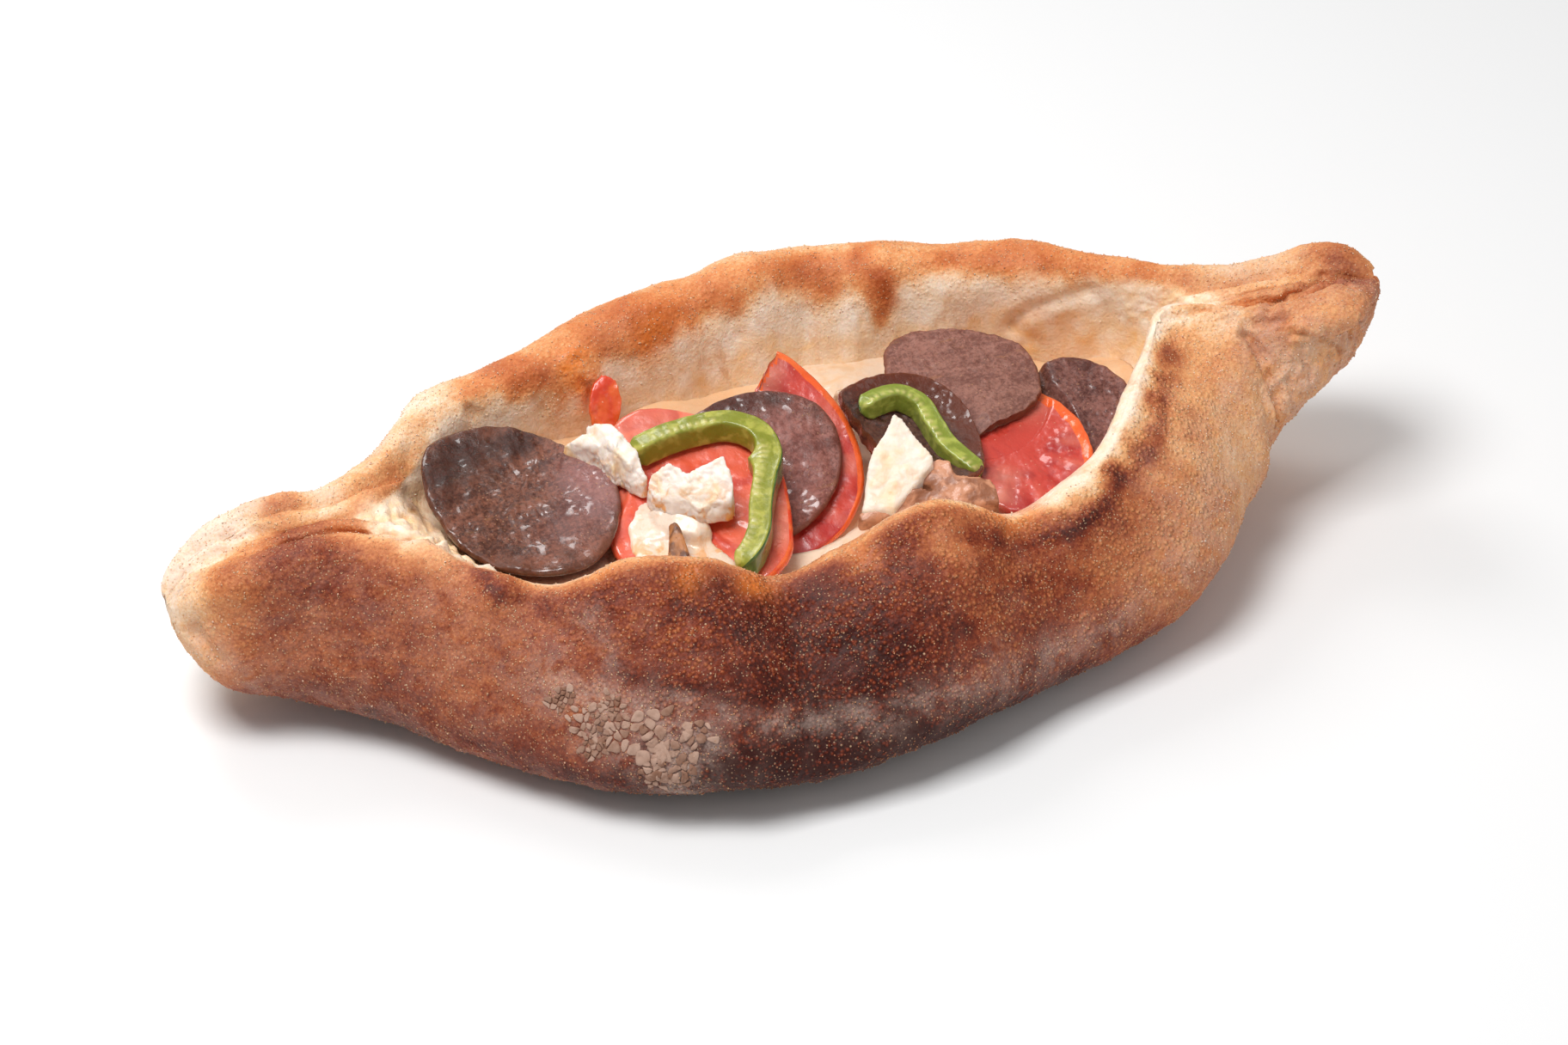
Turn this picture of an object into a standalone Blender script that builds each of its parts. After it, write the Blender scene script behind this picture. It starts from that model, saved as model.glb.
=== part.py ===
"""A peinirli: a boat of bread dough, pinched shut at both ends, baked open over a filling of cheese,
sausage slices, tomato, green pepper and feta.

The long axis runs along X with the raised, knobbed end at +X. The low front side of the rim faces -Y.
The bread stands on Z = 0 with its box centred on the origin. Sizes below are in millimetres.
"""

import math
from dataclasses import dataclass

import bmesh
import bpy
import numpy as np
from mathutils import Euler, Matrix, Vector

MM = 0.001
NAME = "peinirli"

# The dough's own middle line sits this far from the middle of its box.
BOX_SHIFT = (1.75, 4.5, 0.0)

# Dough ------------------------------------------------------------------------------------------
LENGTH = 280.0
MID_X = -2.0
STATIONS = 62
STATION_CROWDING = 0.93
POINTS_PER_SPAN = 2
LIP = 9.0
TIP_ROUNDING = 12.0
TIP_CAP = 0.06

# Along the bread: x, half width of the front belly, half width of the rear belly, underside z.
HULL = (
    (-142, 16, 15, 12),
    (-118, 23, 22, 7),
    (-102, 34, 28, 3),
    (-86, 51, 40, 1),
    (-66, 69, 54, 0),
    (-44, 80, 63, 0),
    (-18, 82, 70, 0),
    (8, 79, 73, 0),
    (34, 69.5, 68, 0),
    (58, 62, 59, 0),
    (72, 57, 52, 3.5),
    (84, 47, 44, 8),
    (94, 34, 37, 11),
    (106, 22, 29, 20),
    (118, 16, 23, 27),
    (138, 8, 16, 38),
)
# The top of the rim: x, front y, front z, rear y, rear z.
CREST = (
    (-142, -8, 34, 5, 35),
    (-132, -9, 39, 7, 38.5),
    (-118, -10, 42, 7, 42),
    (-102, -11, 43, 8, 41),
    (-90, -20, 42, 17, 41.5),
    (-78, -31, 41, 29, 44),
    (-66, -40, 40, 34, 45),
    (-50, -43, 45, 38, 46),
    (-34, -46, 43, 43, 48.5),
    (-22, -48, 36, 46, 49),
    (-6, -48, 40, 48, 49.5),
    (16, -46, 46, 50, 50),
    (36, -45, 38, 46, 50),
    (52, -40, 42, 40, 50),
    (64, -30, 45, 36, 50),
    (76, -14, 48, 29, 50),
    (88, 2, 50, 21, 50),
    (100, -2, 50, 15, 49),
    (116, -8, 51, 11, 50),
    (130, -8, 52, 8, 53),
    (138, -5, 51, 6, 52),
)
# The hollow: x, foot of the front wall y, z, foot of the rear wall y, z, and the floor's z.
WELL = (
    (-142, -2, 31, 2, 31, 30),
    (-118, -2, 39, 2, 39, 38),
    (-102, -2, 40, 2, 40, 38),
    (-92, -6, 36, 6, 36, 33),
    (-82, -21, 18, 19, 18, 12),
    (-66, -28, 14, 26, 14, 9),
    (-40, -34, 13, 29, 13, 9),
    (40, -33, 13, 30, 13, 9),
    (60, -27, 14, 26, 14, 9),
    (76, -8, 18, 20, 18, 12),
    (88, 8, 34, 14, 34, 32),
    (100, 5, 45, 7, 45, 43),
    (138, -1, 46, 1, 46, 45),
)
# The keel under each section leans to its wider side by this share of the difference.
KEEL_LEAN = 0.2
# One side of a section, from the underside up over the rim and down to the foot of the inner wall:
# shares of the way out to the belly and up to the crest, then of the lip, then down to the foot.
UNDER_INNER = 0.55
UNDER_OUTER = (0.86, 0.08)
BELLY_HEIGHT = 0.34
SHOULDER = (0.34, 0.72)
LIP_OUTSIDE = (0.9, 0.28)
LIP_INSIDE = (0.75, 0.6)
LIP_MOST = 0.75
WALL = (0.72, 0.62)
SIDE_POINTS = 9
CREST_POINT = 6
RING_POINTS = 2 * SIDE_POINTS + 2

# Swellings of the crust: x, y, z, radius, height.
SWELLINGS = (
    (-23, 41, 45, 10, 1.8),
    (4, 49, 50, 10, 3.0),
    (34, 42, 46, 10, 1.6),
    (67, 33, 50, 11, 1.2),
    (-115, 6, 41, 8, 1.6),
    (-98, 6, 41, 9, 1.6),
    (-120, -14, 40, 12, 1.4),
    (-59, -50, 39, 10, 1.6),
    (-24, -56, 34, 13, 2.2),
    (3, -61, 37, 12, 1.6),
    (-78, -37, 40, 5, 2.2),
    (-88, -22, 42, 5, 2.0),
    (75, -27, 43, 12, 1.2),
    (101, -25, 18, 8, 2.2),
    (134, 3, 52, 9, 2.4),
    (122, -13, 48, 9, 2.2),
    (-137, 0, 31, 7, 2.0),
)
# Creases of the crust: from x, y, z to x, y, z, half width, depth.
CREASES = (
    (-132, -7, 37, -139, -12, 27, 2.0, 1.6),
    (-139, -12, 27, -134, -16, 22, 2.0, 1.4),
    (104, -16, 46, 105, -24, 24, 3.5, 2.2),
    (107, -10, 50, 134, -12, 47, 2.2, 1.4),
    (128, -8, 52, 138, -2, 51, 2.0, 1.2),
    (-72, -42, 41, -66, -52, 36, 4.0, 1.2),
    (34, -46, 38, 30, -56, 34, 5.0, 1.0),
)
# The uneven surface of the whole crust, as a few crossed waves.
UNDULATION_HEIGHT = 0.5
UNDULATION_LENGTHS = (19.0, 27.0, 38.0)
# Upright folds down the inside of the rear wall, from its crest to its foot.
WALL_FOLD_HEIGHT = 0.9
WALL_FOLD_LENGTH = 21.0
WALL_FOLD_PLACE = 12
WALL_FOLD_REACH = 2
# The base is flat: relief starts above it and is full at this height.
BASE_FADE = 4.0

# Filling ----------------------------------------------------------------------------------------
GAP = 0.6
HOLLOW_GAP = 0.7
HOLLOW_ENDS = (-87.0, 85.0)
HOLLOW_TOP = 80.0
CHEESE_LEVEL = 25.5
CHEESE_CELL = 5.6
CHEESE_BOX = (-92.0, 90.0, -56.0, 52.0)
CHEESE_BOTTOM = 4.0
CHEESE_LEAST = 6.0
CHEESE_WAVE = 0.7
CHEESE_WAVE_LENGTHS = (32.0, 40.0)
# Mounds of the melted cheese: x, y, radius, height.
CHEESE_MOUNDS = (
    (-40, -30, 11, 6.5),
    (-26, -38, 8, 4.0),
    (-84, -12, 8, 9.0),
    (-62, 34, 14, 3.5),
    (-20, 33, 14, 3.0),
    (18, 30, 16, 4.5),
    (8, -30, 8, 3.5),
    (62, -32, 7, 6.0),
    (80, 8, 9, 6.0),
    (48, 30, 12, 3.0),
)


# Half the section of a slice of radius 1 and thickness 1, from its middle out over the edge and back.
DISC_PROFILE = ((0, 0.5), (0.5, 0.5), (0.85, 0.5), (1, 0.2), (1, -0.2), (0.85, -0.5), (0.5, -0.5), (0, -0.5))
DISC_STEPS = 24
EDGE_WAVE = 0.02
# How far the cheese makes room round a slice, as the square of its radius.
SLICE_REACH = 1.2
# A lump lies between a block and a ball, by these shares.
LUMP_BLOCK = 0.62
LUMP_BALL = 0.45
CRUMBLE_DIRECTION = Vector((2.1, -1.7, 2.9))
CRUMBLE_RATES = (3.1, 2.3, 4.3)
STRIP_SIDES = 10
STRIP_END = 0.72
MOST_SHELL = 3.0


@dataclass(frozen=True)
class Slice:
    """A round or oval slice, tilted as it lies in the filling."""

    name: str
    centre: tuple
    radii: tuple
    tilt: tuple
    thickness: float
    colour: tuple
    roughness: float = 0.35
    dish: float = 0.0
    curl: float = 0.0
    ripple: float = 0.5
    cut: tuple = ()

    def turn(self):
        """The slice's rotation: pitch lifts its rear edge, roll lifts its right edge."""
        pitch, roll, yaw = (math.radians(angle) for angle in self.tilt)
        return Matrix.Rotation(-roll, 3, "Y") @ Matrix.Rotation(pitch, 3, "X") @ Matrix.Rotation(yaw, 3, "Z")

    def height_at(self, x, y):
        """The z of the slice's middle surface over x, y, or None clear of the slice."""
        normal = self.turn() @ Vector((0, 0, 1))
        dx, dy = x - self.centre[0], y - self.centre[1]
        z = -(normal.x * dx + normal.y * dy) / normal.z
        local = self.turn().inverted() @ Vector((dx, dy, z))
        u, v = local.x / self.radii[0], local.y / self.radii[1]
        if u * u + v * v > SLICE_REACH:
            return None
        return self.centre[2] + z + self.dish * (u * u + v * v) + self.curl * v * v


@dataclass(frozen=True)
class Lump:
    """A crumbled piece: a rough block, drawn in at its top."""

    name: str
    centre: tuple
    size: tuple
    tilt: tuple
    colour: tuple
    roughness: float = 0.6
    taper: tuple = (0.7, 0.7)
    lean: tuple = (0.0, 0.0)
    rough: float = 0.8
    cuts: int = 3
    phase: float = 0.0


@dataclass(frozen=True)
class Strip:
    """A curved strip of pepper, laid along a path."""

    name: str
    path: tuple
    width: float
    depth: float
    colour: tuple
    roughness: float = 0.3
    samples: int = 20
    profile_bulge: float = 0.25


SAUSAGE = (0.11, 0.062, 0.055)
TOMATO = (0.62, 0.10, 0.05)
PEPPER = (0.22, 0.33, 0.03)
FETA = (0.86, 0.80, 0.66)

# From the top of the filling down: each piece lies on, or is pressed into, those after it.
PIECES = (
    Lump("feta_left", (-42.4, 1.0, 41.4), (12, 25, 9), (9, 0, 19), FETA, taper=(0.62, 0.8), phase=0.3),
    Lump("feta_front", (-28.6, -13.2, 40.2), (18.5, 13, 9), (16, 6, -4), FETA, taper=(0.9, 0.7), phase=1.1),
    Lump(
        "brown_sliver", (-36.0, -29.0, 38.6), (3.6, 11.0, 3.2), (12, 4, 14), (0.13, 0.055, 0.02),
        taper=(0.55, 0.7), rough=0.3, cuts=2, phase=2.0,
    ),
    Lump(
        "feta_melted", (-36.8, -23.6, 35.0), (17, 20, 6.5), (14, 0, 6), FETA,
        taper=(0.8, 0.8), rough=0.4, phase=1.9,
    ),
    Strip(
        "pepper_hook",
        (
            (-38.5, -1.8, 42.4), (-30.2, -0.3, 43.6), (-23.4, 0.0, 44.1), (-15.9, -1.2, 44.3),
            (-11.0, -5.8, 43.4), (-10.2, -12.3, 41.3), (-13.4, -18.3, 39.4), (-16.2, -24.0, 37.4),
            (-18.5, -30.0, 35.4), (-21.8, -34.4, 33.8), (-25.2, -37.0, 33.0),
        ),
        5.2, 5.6, PEPPER,
    ),
    Lump(
        "meat_crumble", (19.0, -31.0, 37.0), (33, 15, 7), (10, 2, 9), (0.30, 0.17, 0.10),
        taper=(0.8, 0.5), rough=1.1, phase=0.9,
    ),
    Lump("feta_peak", (17.0, -16.8, 38.4), (15.5, 12.5, 20), (24, 0, 8), FETA, taper=(0.22, 0.45), phase=2.7),
    Strip(
        "pepper_arc",
        (
            (14.1, -2.0, 42.0), (18.8, 0.0, 42.0), (23.6, 0.5, 41.5), (27.3, -2.2, 40.0), (28.8, -8.0, 37.6),
            (30.0, -13.6, 35.5), (32.2, -17.7, 33.9), (34.6, -21.8, 32.5),
        ),
        4.4, 5.0, (0.12, 0.25, 0.03), samples=16,
    ),
    Lump(
        "onion_bit", (16.4, 13.6, 37.2), (4.6, 5.4, 3.8), (10, 0, 30), (0.55, 0.42, 0.30),
        taper=(0.6, 0.6), rough=0.2, cuts=2,
    ),
    Slice("sausage_curled", (24.4, -5.9, 35.0), (17.3, 17.3), (19, -5, 0), 3.4, SAUSAGE, dish=2.6),
    Slice(
        "sausage_rear", (40.4, 5.3, 37.0), (18.8, 20.6), (12, 0, 0), 3.6, (0.17, 0.10, 0.085), dish=-0.6,
        cut=(10.6, -4.6, 0.655, -0.757),
    ),
    Slice("sausage_left", (-62.6, 0.7, 35.5), (21.3, 22.2), (11, 0, 0), 3.8, SAUSAGE, dish=2.4, curl=-0.6),
    Slice("tomato_front", (-28.2, -13.6, 34.0), (21.8, 26.5), (18, 5, 0), 4.0, TOMATO, curl=0.6),
    Slice("sausage_middle", (-11.4, -3.7, 34.5), (19.3, 20.0), (27, 5, 0), 3.8, SAUSAGE, dish=-0.8),
    Slice("tomato_right", (46.2, -13.6, 30.5), (16.2, 21.5), (8, 3, 0), 4.0, TOMATO, dish=0.8),
    Slice(
        "tomato_crescent", (-8.4, -1.7, 32.0), (22.6, 26.5), (31, 5, 0), 3.8, TOMATO, curl=1.2,
        cut=(4.5, 20.5, -0.82, 0.57),
    ),
    Slice("tomato_scrap", (-35.6, 27.0, 36.0), (3.9, 6.4), (52, 0, -8), 3.0, (0.75, 0.14, 0.03)),
    Slice("sausage_right", (64.2, -5.4, 32.0), (12.8, 14.4), (22, 0, 0), 3.8, (0.08, 0.045, 0.04)),
    Slice("sausage_under", (-59.0, -1.6, 29.6), (20.5, 20.5), (6, 0, 0), 2.4, (0.20, 0.15, 0.13), dish=0.6),
)


# Smooth curves ----------------------------------------------------------------------------------
def along(knots, x):
    """The knots' values at each x, by a smooth curve through them: one column a value."""
    table = np.array(knots, float)
    places, values = table[:, 0], table[:, 1:]
    slopes = np.gradient(values, places, axis=0)
    x = np.clip(x, places[0], places[-1])
    index = np.clip(np.searchsorted(places, x) - 1, 0, len(places) - 2)
    span = (places[index + 1] - places[index])[:, None]
    t = (x - places[index])[:, None] / span
    return (
        (2 * t**3 - 3 * t**2 + 1) * values[index]
        + (t**3 - 2 * t**2 + t) * span * slopes[index]
        + (3 * t**2 - 2 * t**3) * values[index + 1]
        + (t**3 - t**2) * span * slopes[index + 1]
    ).T


def rounded(rings, per_span):
    """Each closed ring with per_span points for each of its own, on a Catmull-Rom curve."""
    before, after, later = (np.roll(rings, shift, axis=1)[:, :, None] for shift in (1, -1, -2))
    here = rings[:, :, None]
    t = (np.arange(per_span) / per_span)[None, None, :, None]
    curve = 0.5 * (
        2 * here
        + (after - before) * t
        + (2 * before - 5 * here + 4 * after - later) * t**2
        + (3 * here - before - 3 * after + later) * t**3
    )
    return curve.reshape(len(rings), -1, 2)


# Dough ------------------------------------------------------------------------------------------
def station_places(count):
    """The x of each section, closer together towards the ends."""
    quarter = STATION_CROWDING * math.pi / 2
    return MID_X + LENGTH / 2 * np.sin(np.linspace(-quarter, quarter, count)) / math.sin(quarter)


def section_rings(x):
    """The few points that each section of the dough is drawn through, as y and z."""
    front, rear, under = along(HULL, x)
    front_y, front_z, rear_y, rear_z = along(CREST, x)
    foot_front_y, foot_front_z, foot_rear_y, foot_rear_z, floor = along(WELL, x)
    keel = (rear - front) * KEEL_LEAN

    def side(belly, crest_y, crest_z, foot_y, foot_z):
        way = np.sign(belly)
        height = crest_z - under
        lip = np.minimum(LIP, LIP_MOST * np.abs(crest_y - foot_y))
        return [
            (keel + UNDER_INNER * (belly - keel), under),
            (keel + UNDER_OUTER[0] * (belly - keel), under + UNDER_OUTER[1] * height),
            (belly, under + BELLY_HEIGHT * height),
            (belly + SHOULDER[0] * (crest_y - belly), under + SHOULDER[1] * height),
            (crest_y + LIP_OUTSIDE[0] * way * lip, crest_z - LIP_OUTSIDE[1] * lip),
            (crest_y, crest_z),
            (crest_y - LIP_INSIDE[0] * way * lip, crest_z - LIP_INSIDE[1] * lip),
            (crest_y + WALL[0] * (foot_y - crest_y), crest_z + WALL[1] * (foot_z - crest_z)),
            (foot_y, foot_z),
        ]

    front_side = side(-front, front_y, front_z, foot_front_y, foot_front_z)
    rear_side = side(rear, rear_y, rear_z, foot_rear_y, foot_rear_z)
    middle = (foot_front_y + foot_rear_y) / 2
    ring = [(keel, under), *front_side, (middle, floor), *reversed(rear_side)]
    return np.array([[y + 0 * x, z + 0 * x] for y, z in ring]).transpose(2, 0, 1)


def grid_normals(grid):
    """The outward direction at each point of a grid of rings."""
    lengthwise = np.gradient(grid, axis=0)
    around = np.roll(grid, -1, axis=1) - np.roll(grid, 1, axis=1)
    normals = np.cross(lengthwise, around)
    return normals / np.maximum(np.linalg.norm(normals, axis=2, keepdims=True), 1e-9)


def undulation(points):
    """Low crossed waves, from -1 to 1, that repeat nowhere on the bread."""
    x, y, z = points[..., 0], points[..., 1], points[..., 2]
    total = 0
    for step, length in enumerate(UNDULATION_LENGTHS):
        k = 2 * math.pi / length
        total = total + np.sin(k * (x + 0.4 * y) + 1.7 * step) * np.cos(k * (0.8 * y - 0.9 * z) + 2.3 * step)
    return total / len(UNDULATION_LENGTHS)


def relief(points, rear_wall):
    """How far the crust stands out at each point. rear_wall is 1 on the inside of the rear wall."""
    height = UNDULATION_HEIGHT * undulation(points) * np.clip(points[..., 2] / BASE_FADE, 0, 1)
    height = height + WALL_FOLD_HEIGHT * rear_wall * np.sin(2 * math.pi * points[..., 0] / WALL_FOLD_LENGTH)
    for x, y, z, radius, rise in SWELLINGS:
        square = ((points - (x, y, z)) ** 2).sum(axis=-1)
        height = height + rise * np.exp(-square / radius**2)
    for *ends, half_width, depth in CREASES:
        start, end = np.array(ends[:3], float), np.array(ends[3:], float)
        share = np.clip(((points - start) @ (end - start)) / ((end - start) @ (end - start)), 0, 1)
        square = ((points - start - share[..., None] * (end - start)) ** 2).sum(axis=-1)
        height = height - depth * np.exp(-square / half_width**2)
    return height


def dough_grid(stations, per_span):
    """The dough's skin as one ring of points a station, in millimetres."""
    x = station_places(stations)
    rings = rounded(section_rings(x), per_span)
    centre = rings.mean(axis=1, keepdims=True)
    inward = np.clip((LENGTH / 2 - np.abs(x - MID_X)) / TIP_ROUNDING, 0, 1)
    shrink = np.sqrt(np.clip(1 - (1 - inward) ** 2, TIP_CAP, 1))[:, None, None]
    rings = centre + (rings - centre) * shrink
    across = np.broadcast_to(x[:, None, None], rings.shape[:2] + (1,))
    grid = np.concatenate([across, rings], axis=2)
    place = np.arange(rings.shape[1]) / per_span
    on_wall = np.clip(1 - np.abs(place - WALL_FOLD_PLACE) / WALL_FOLD_REACH, 0, 1)
    rear_wall = on_wall[None, :] * (np.abs(x) < HOLLOW_ENDS[1])[:, None]
    grid = grid + grid_normals(grid) * relief(grid, rear_wall)[..., None]
    grid[..., 2] = np.maximum(grid[..., 2], 0)
    return grid


def hollow_rings(grid, per_span):
    """The room inside the rim, a gap clear of the dough and open far above it."""
    clear = grid + grid_normals(grid) * HOLLOW_GAP
    first = CREST_POINT * per_span
    last = (RING_POINTS - CREST_POINT) * per_span
    inside = (clear[:, 0, 0] > HOLLOW_ENDS[0]) & (clear[:, 0, 0] < HOLLOW_ENDS[1])
    walls = clear[inside, first : last + 1]
    lids = [walls[:, -1].copy(), walls[:, 0].copy()]
    for lid in lids:
        lid[:, 2] = HOLLOW_TOP
    return np.concatenate([walls, lids[0][:, None], lids[1][:, None]], axis=1)[:, ::-1]


# Meshes -----------------------------------------------------------------------------------------
def finish(name, colour, roughness):
    """A plain material of one colour."""
    material = bpy.data.materials.new(name)
    material.use_nodes = True
    shader = material.node_tree.nodes["Principled BSDF"]
    shader.inputs["Base Color"].default_value = (*colour, 1)
    shader.inputs["Roughness"].default_value = roughness
    shader.inputs["Metallic"].default_value = 0
    return material


def new_object(name, mesh, collection, colour=FETA, roughness=0.6):
    """An object of the mesh, with its own material, in the collection."""
    thing = bpy.data.objects.new(name, mesh)
    mesh.materials.clear()
    mesh.materials.append(finish(name, colour, roughness))
    mesh.shade_smooth()
    collection.objects.link(thing)
    return thing


def loft(name, rings):
    """A closed mesh over rings of points in millimetres, each end closed by a fan."""
    count, around = rings.shape[:2]
    form = bmesh.new()
    rows = [[form.verts.new(point * MM) for point in ring] for ring in rings]
    for row, following in zip(rows, rows[1:]):
        for i in range(around):
            j = (i + 1) % around
            form.faces.new((row[i], following[i], following[j], row[j]))
    for row, ring, start in ((rows[0], rings[0], True), (rows[-1], rings[-1], False)):
        hub = form.verts.new(ring.mean(axis=0) * MM)
        for i in range(around):
            j = (i + 1) % around
            form.faces.new((hub, row[i], row[j]) if start else (hub, row[j], row[i]))
    return meshed(form, name)


def meshed(form, name):
    """The mesh of a bmesh, which is then freed."""
    mesh = bpy.data.meshes.new(name)
    form.to_mesh(mesh)
    form.free()
    return mesh


def evaluated(thing):
    """The object's mesh with its modifiers applied."""
    bpy.context.view_layer.update()
    graph = bpy.context.evaluated_depsgraph_get()
    return bpy.data.meshes.new_from_object(thing.evaluated_get(graph))


def turned_disc(name):
    """A disc of radius 1 and thickness 1, turned from its profile by a Screw."""
    form = bmesh.new()
    line = [form.verts.new((radius, 0, z)) for radius, z in DISC_PROFILE]
    for start, end in zip(line, line[1:]):
        form.edges.new((start, end))
    thing = bpy.data.objects.new(name, meshed(form, name))
    bpy.context.scene.collection.objects.link(thing)
    screw = thing.modifiers.new("Turn", "SCREW")
    screw.steps = DISC_STEPS
    screw.render_steps = DISC_STEPS
    screw.use_merge_vertices = True
    screw.merge_threshold = 0.0001
    screw.use_normal_calculate = True
    mesh = evaluated(thing)
    bpy.data.objects.remove(thing)
    return mesh


def slice_mesh(spec):
    """A disc made oval, dished, curled along its tilt and rippled round its edge."""
    mesh = turned_disc(spec.name)
    for vertex in mesh.vertices:
        u, v, w = vertex.co
        angle = math.atan2(v, u)
        wave = math.sin(3 * angle + spec.centre[0]) + math.sin(5 * angle + spec.centre[1])
        edge = 1 + EDGE_WAVE * spec.ripple * wave
        lift = spec.dish * (u * u + v * v) + spec.curl * v * v
        lift += spec.ripple * (u * u + v * v) ** 2 * math.sin(2 * angle + spec.centre[0])
        across = u * edge * spec.radii[0]
        deep = v * edge * spec.radii[1]
        vertex.co = Vector((across, deep, w * spec.thickness + lift)) * MM
    if spec.cut:
        trim(mesh, spec.cut)
    return mesh


def trim(mesh, cut):
    """Cuts the slice off square along a line: a point and the direction that is removed."""
    x, y, away_x, away_y = cut
    form = bmesh.new()
    form.from_mesh(mesh)
    point, away = Vector((x, y, 0)) * MM, Vector((away_x, away_y, 0))
    geometry = form.verts[:] + form.edges[:] + form.faces[:]
    bmesh.ops.bisect_plane(form, geom=geometry, plane_co=point, plane_no=away, clear_outer=True)
    bmesh.ops.holes_fill(form, edges=[edge for edge in form.edges if edge.is_boundary])
    bmesh.ops.recalc_face_normals(form, faces=form.faces)
    form.to_mesh(mesh)
    form.free()


def lump_mesh(spec):
    """A rough block: a divided cube, rounded, drawn in at the top and crumbled."""
    form = bmesh.new()
    bmesh.ops.create_cube(form, size=2)
    bmesh.ops.subdivide_edges(form, edges=form.edges[:], cuts=spec.cuts, use_grid_fill=True)
    size = Vector(spec.size) / 2
    for vertex in form.verts:
        x, y, z = vertex.co * LUMP_BLOCK + vertex.co.normalized() * LUMP_BALL
        narrow = (z + 1) / 2
        x = x * (1 + (spec.taper[0] - 1) * narrow) + spec.lean[0] * narrow
        y = y * (1 + (spec.taper[1] - 1) * narrow) + spec.lean[1] * narrow
        shake = spec.phase + Vector((x, y, z)).dot(CRUMBLE_DIRECTION)
        crumble = Vector([math.sin(rate * shake + step) for step, rate in enumerate(CRUMBLE_RATES)])
        vertex.co = (Vector((x * size.x, y * size.y, z * size.z)) + spec.rough / 2 * crumble) * MM
    return meshed(form, spec.name)


def strip_path(spec):
    """The strip's middle line, smooth through its path."""
    path = np.array(spec.path, float)
    reach = np.concatenate([[0], np.cumsum(np.linalg.norm(np.diff(path, axis=0), axis=1))])
    places = np.linspace(0, reach[-1], spec.samples)
    return along(np.column_stack([reach, path]), places).T


def strip_mesh(spec):
    """The strip's solid: a flattened round profile carried along the path, upright all the way."""
    middle = strip_path(spec)
    way = np.gradient(middle, axis=0)
    way /= np.linalg.norm(way, axis=1, keepdims=True)
    sideways = np.cross(way, (0, 0, 1))
    sideways /= np.linalg.norm(sideways, axis=1, keepdims=True)
    upward = np.cross(sideways, way)
    angles = np.linspace(0, 2 * math.pi, STRIP_SIDES, endpoint=False)
    corner = 1 + spec.profile_bulge * np.sin(2 * angles) ** 2
    across = spec.width / 2 * np.cos(angles) * corner
    high = spec.depth / 2 * np.sin(angles) * corner
    taper = np.ones((len(middle), 1, 1))
    taper[0] = STRIP_END
    taper[-1] = STRIP_END
    section = sideways[:, None] * across[None, :, None] + upward[:, None] * high[None, :, None]
    return loft(spec.name, middle[:, None] + section * taper)


def piece_mesh(spec):
    """The mesh of a slice, a lump or a strip."""
    makers = {Slice: slice_mesh, Lump: lump_mesh, Strip: strip_mesh}
    return makers[type(spec)](spec)


def swollen(mesh, gap):
    """A copy of the mesh with every face moved out by the gap."""
    form = bmesh.new()
    form.from_mesh(mesh)
    form.normal_update()
    moves = [vertex.normal * min(vertex.calc_shell_factor(), MOST_SHELL) * gap * MM for vertex in form.verts]
    for vertex, move in zip(form.verts, moves):
        vertex.co += move
    return meshed(form, mesh.name + "_cutter")


def place(thing, spec):
    """Moves and turns a piece to where it lies in the filling."""
    if isinstance(spec, Slice):
        thing.matrix_world = Matrix.Translation(Vector(spec.centre) * MM) @ spec.turn().to_4x4()
    elif isinstance(spec, Lump):
        turn = Euler([math.radians(angle) for angle in spec.tilt]).to_matrix().to_4x4()
        thing.matrix_world = Matrix.Translation(Vector(spec.centre) * MM) @ turn


# Booleans ---------------------------------------------------------------------------------------
def combine(thing, other, operation):
    """Applies a Boolean of other to the object's mesh."""
    step = thing.modifiers.new(operation.title(), "BOOLEAN")
    step.operation = operation
    step.solver = "MANIFOLD"  # EXACT drops a whole piece here and there, where one lies inside another
    step.object = other
    mesh = evaluated(thing)
    thing.modifiers.clear()
    thing.data = mesh


def keep_largest(mesh):
    """Drops every loose scrap that a cut left beside the main piece."""
    form = bmesh.new()
    form.from_mesh(mesh)
    waiting = set(form.verts)
    islands = []
    while waiting:
        island = set()
        reached = [waiting.pop()]
        while reached:
            vertex = reached.pop()
            island.add(vertex)
            near = {link.other_vert(vertex) for link in vertex.link_edges} & waiting
            waiting -= near
            reached.extend(near)
        islands.append(island)
    islands.sort(key=len)
    scraps = [vertex for island in islands[:-1] for vertex in island]
    bmesh.ops.delete(form, geom=scraps, context="VERTS")
    form.to_mesh(mesh)
    form.free()


def boxes_meet(first, second):
    """Whether two objects' boxes overlap, so that one could cut the other."""
    ends = []
    for thing in (first, second):
        corners = np.array([thing.matrix_world @ Vector(corner) for corner in thing.bound_box])
        ends.append((corners.min(axis=0), corners.max(axis=0)))
    return bool((ends[0][0] < ends[1][1]).all() and (ends[1][0] < ends[0][1]).all())


# Cheese -----------------------------------------------------------------------------------------
def cheese_height(x, y):
    """The top of the melted cheese over x, y: mounded, and sunk under every slice that lies on it."""
    across, deep = (2 * math.pi / length for length in CHEESE_WAVE_LENGTHS)
    height = CHEESE_LEVEL + CHEESE_WAVE * math.sin(across * x + 1) * math.cos(deep * y)
    for mound_x, mound_y, radius, rise in CHEESE_MOUNDS:
        height += rise * math.exp(-((x - mound_x) ** 2 + (y - mound_y) ** 2) / radius**2)
    for spec in PIECES:
        if isinstance(spec, Slice):
            surface = spec.height_at(x, y)
            if surface is not None:
                height = min(height, surface - GAP)
    return max(height, CHEESE_BOTTOM + CHEESE_LEAST)


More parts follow.
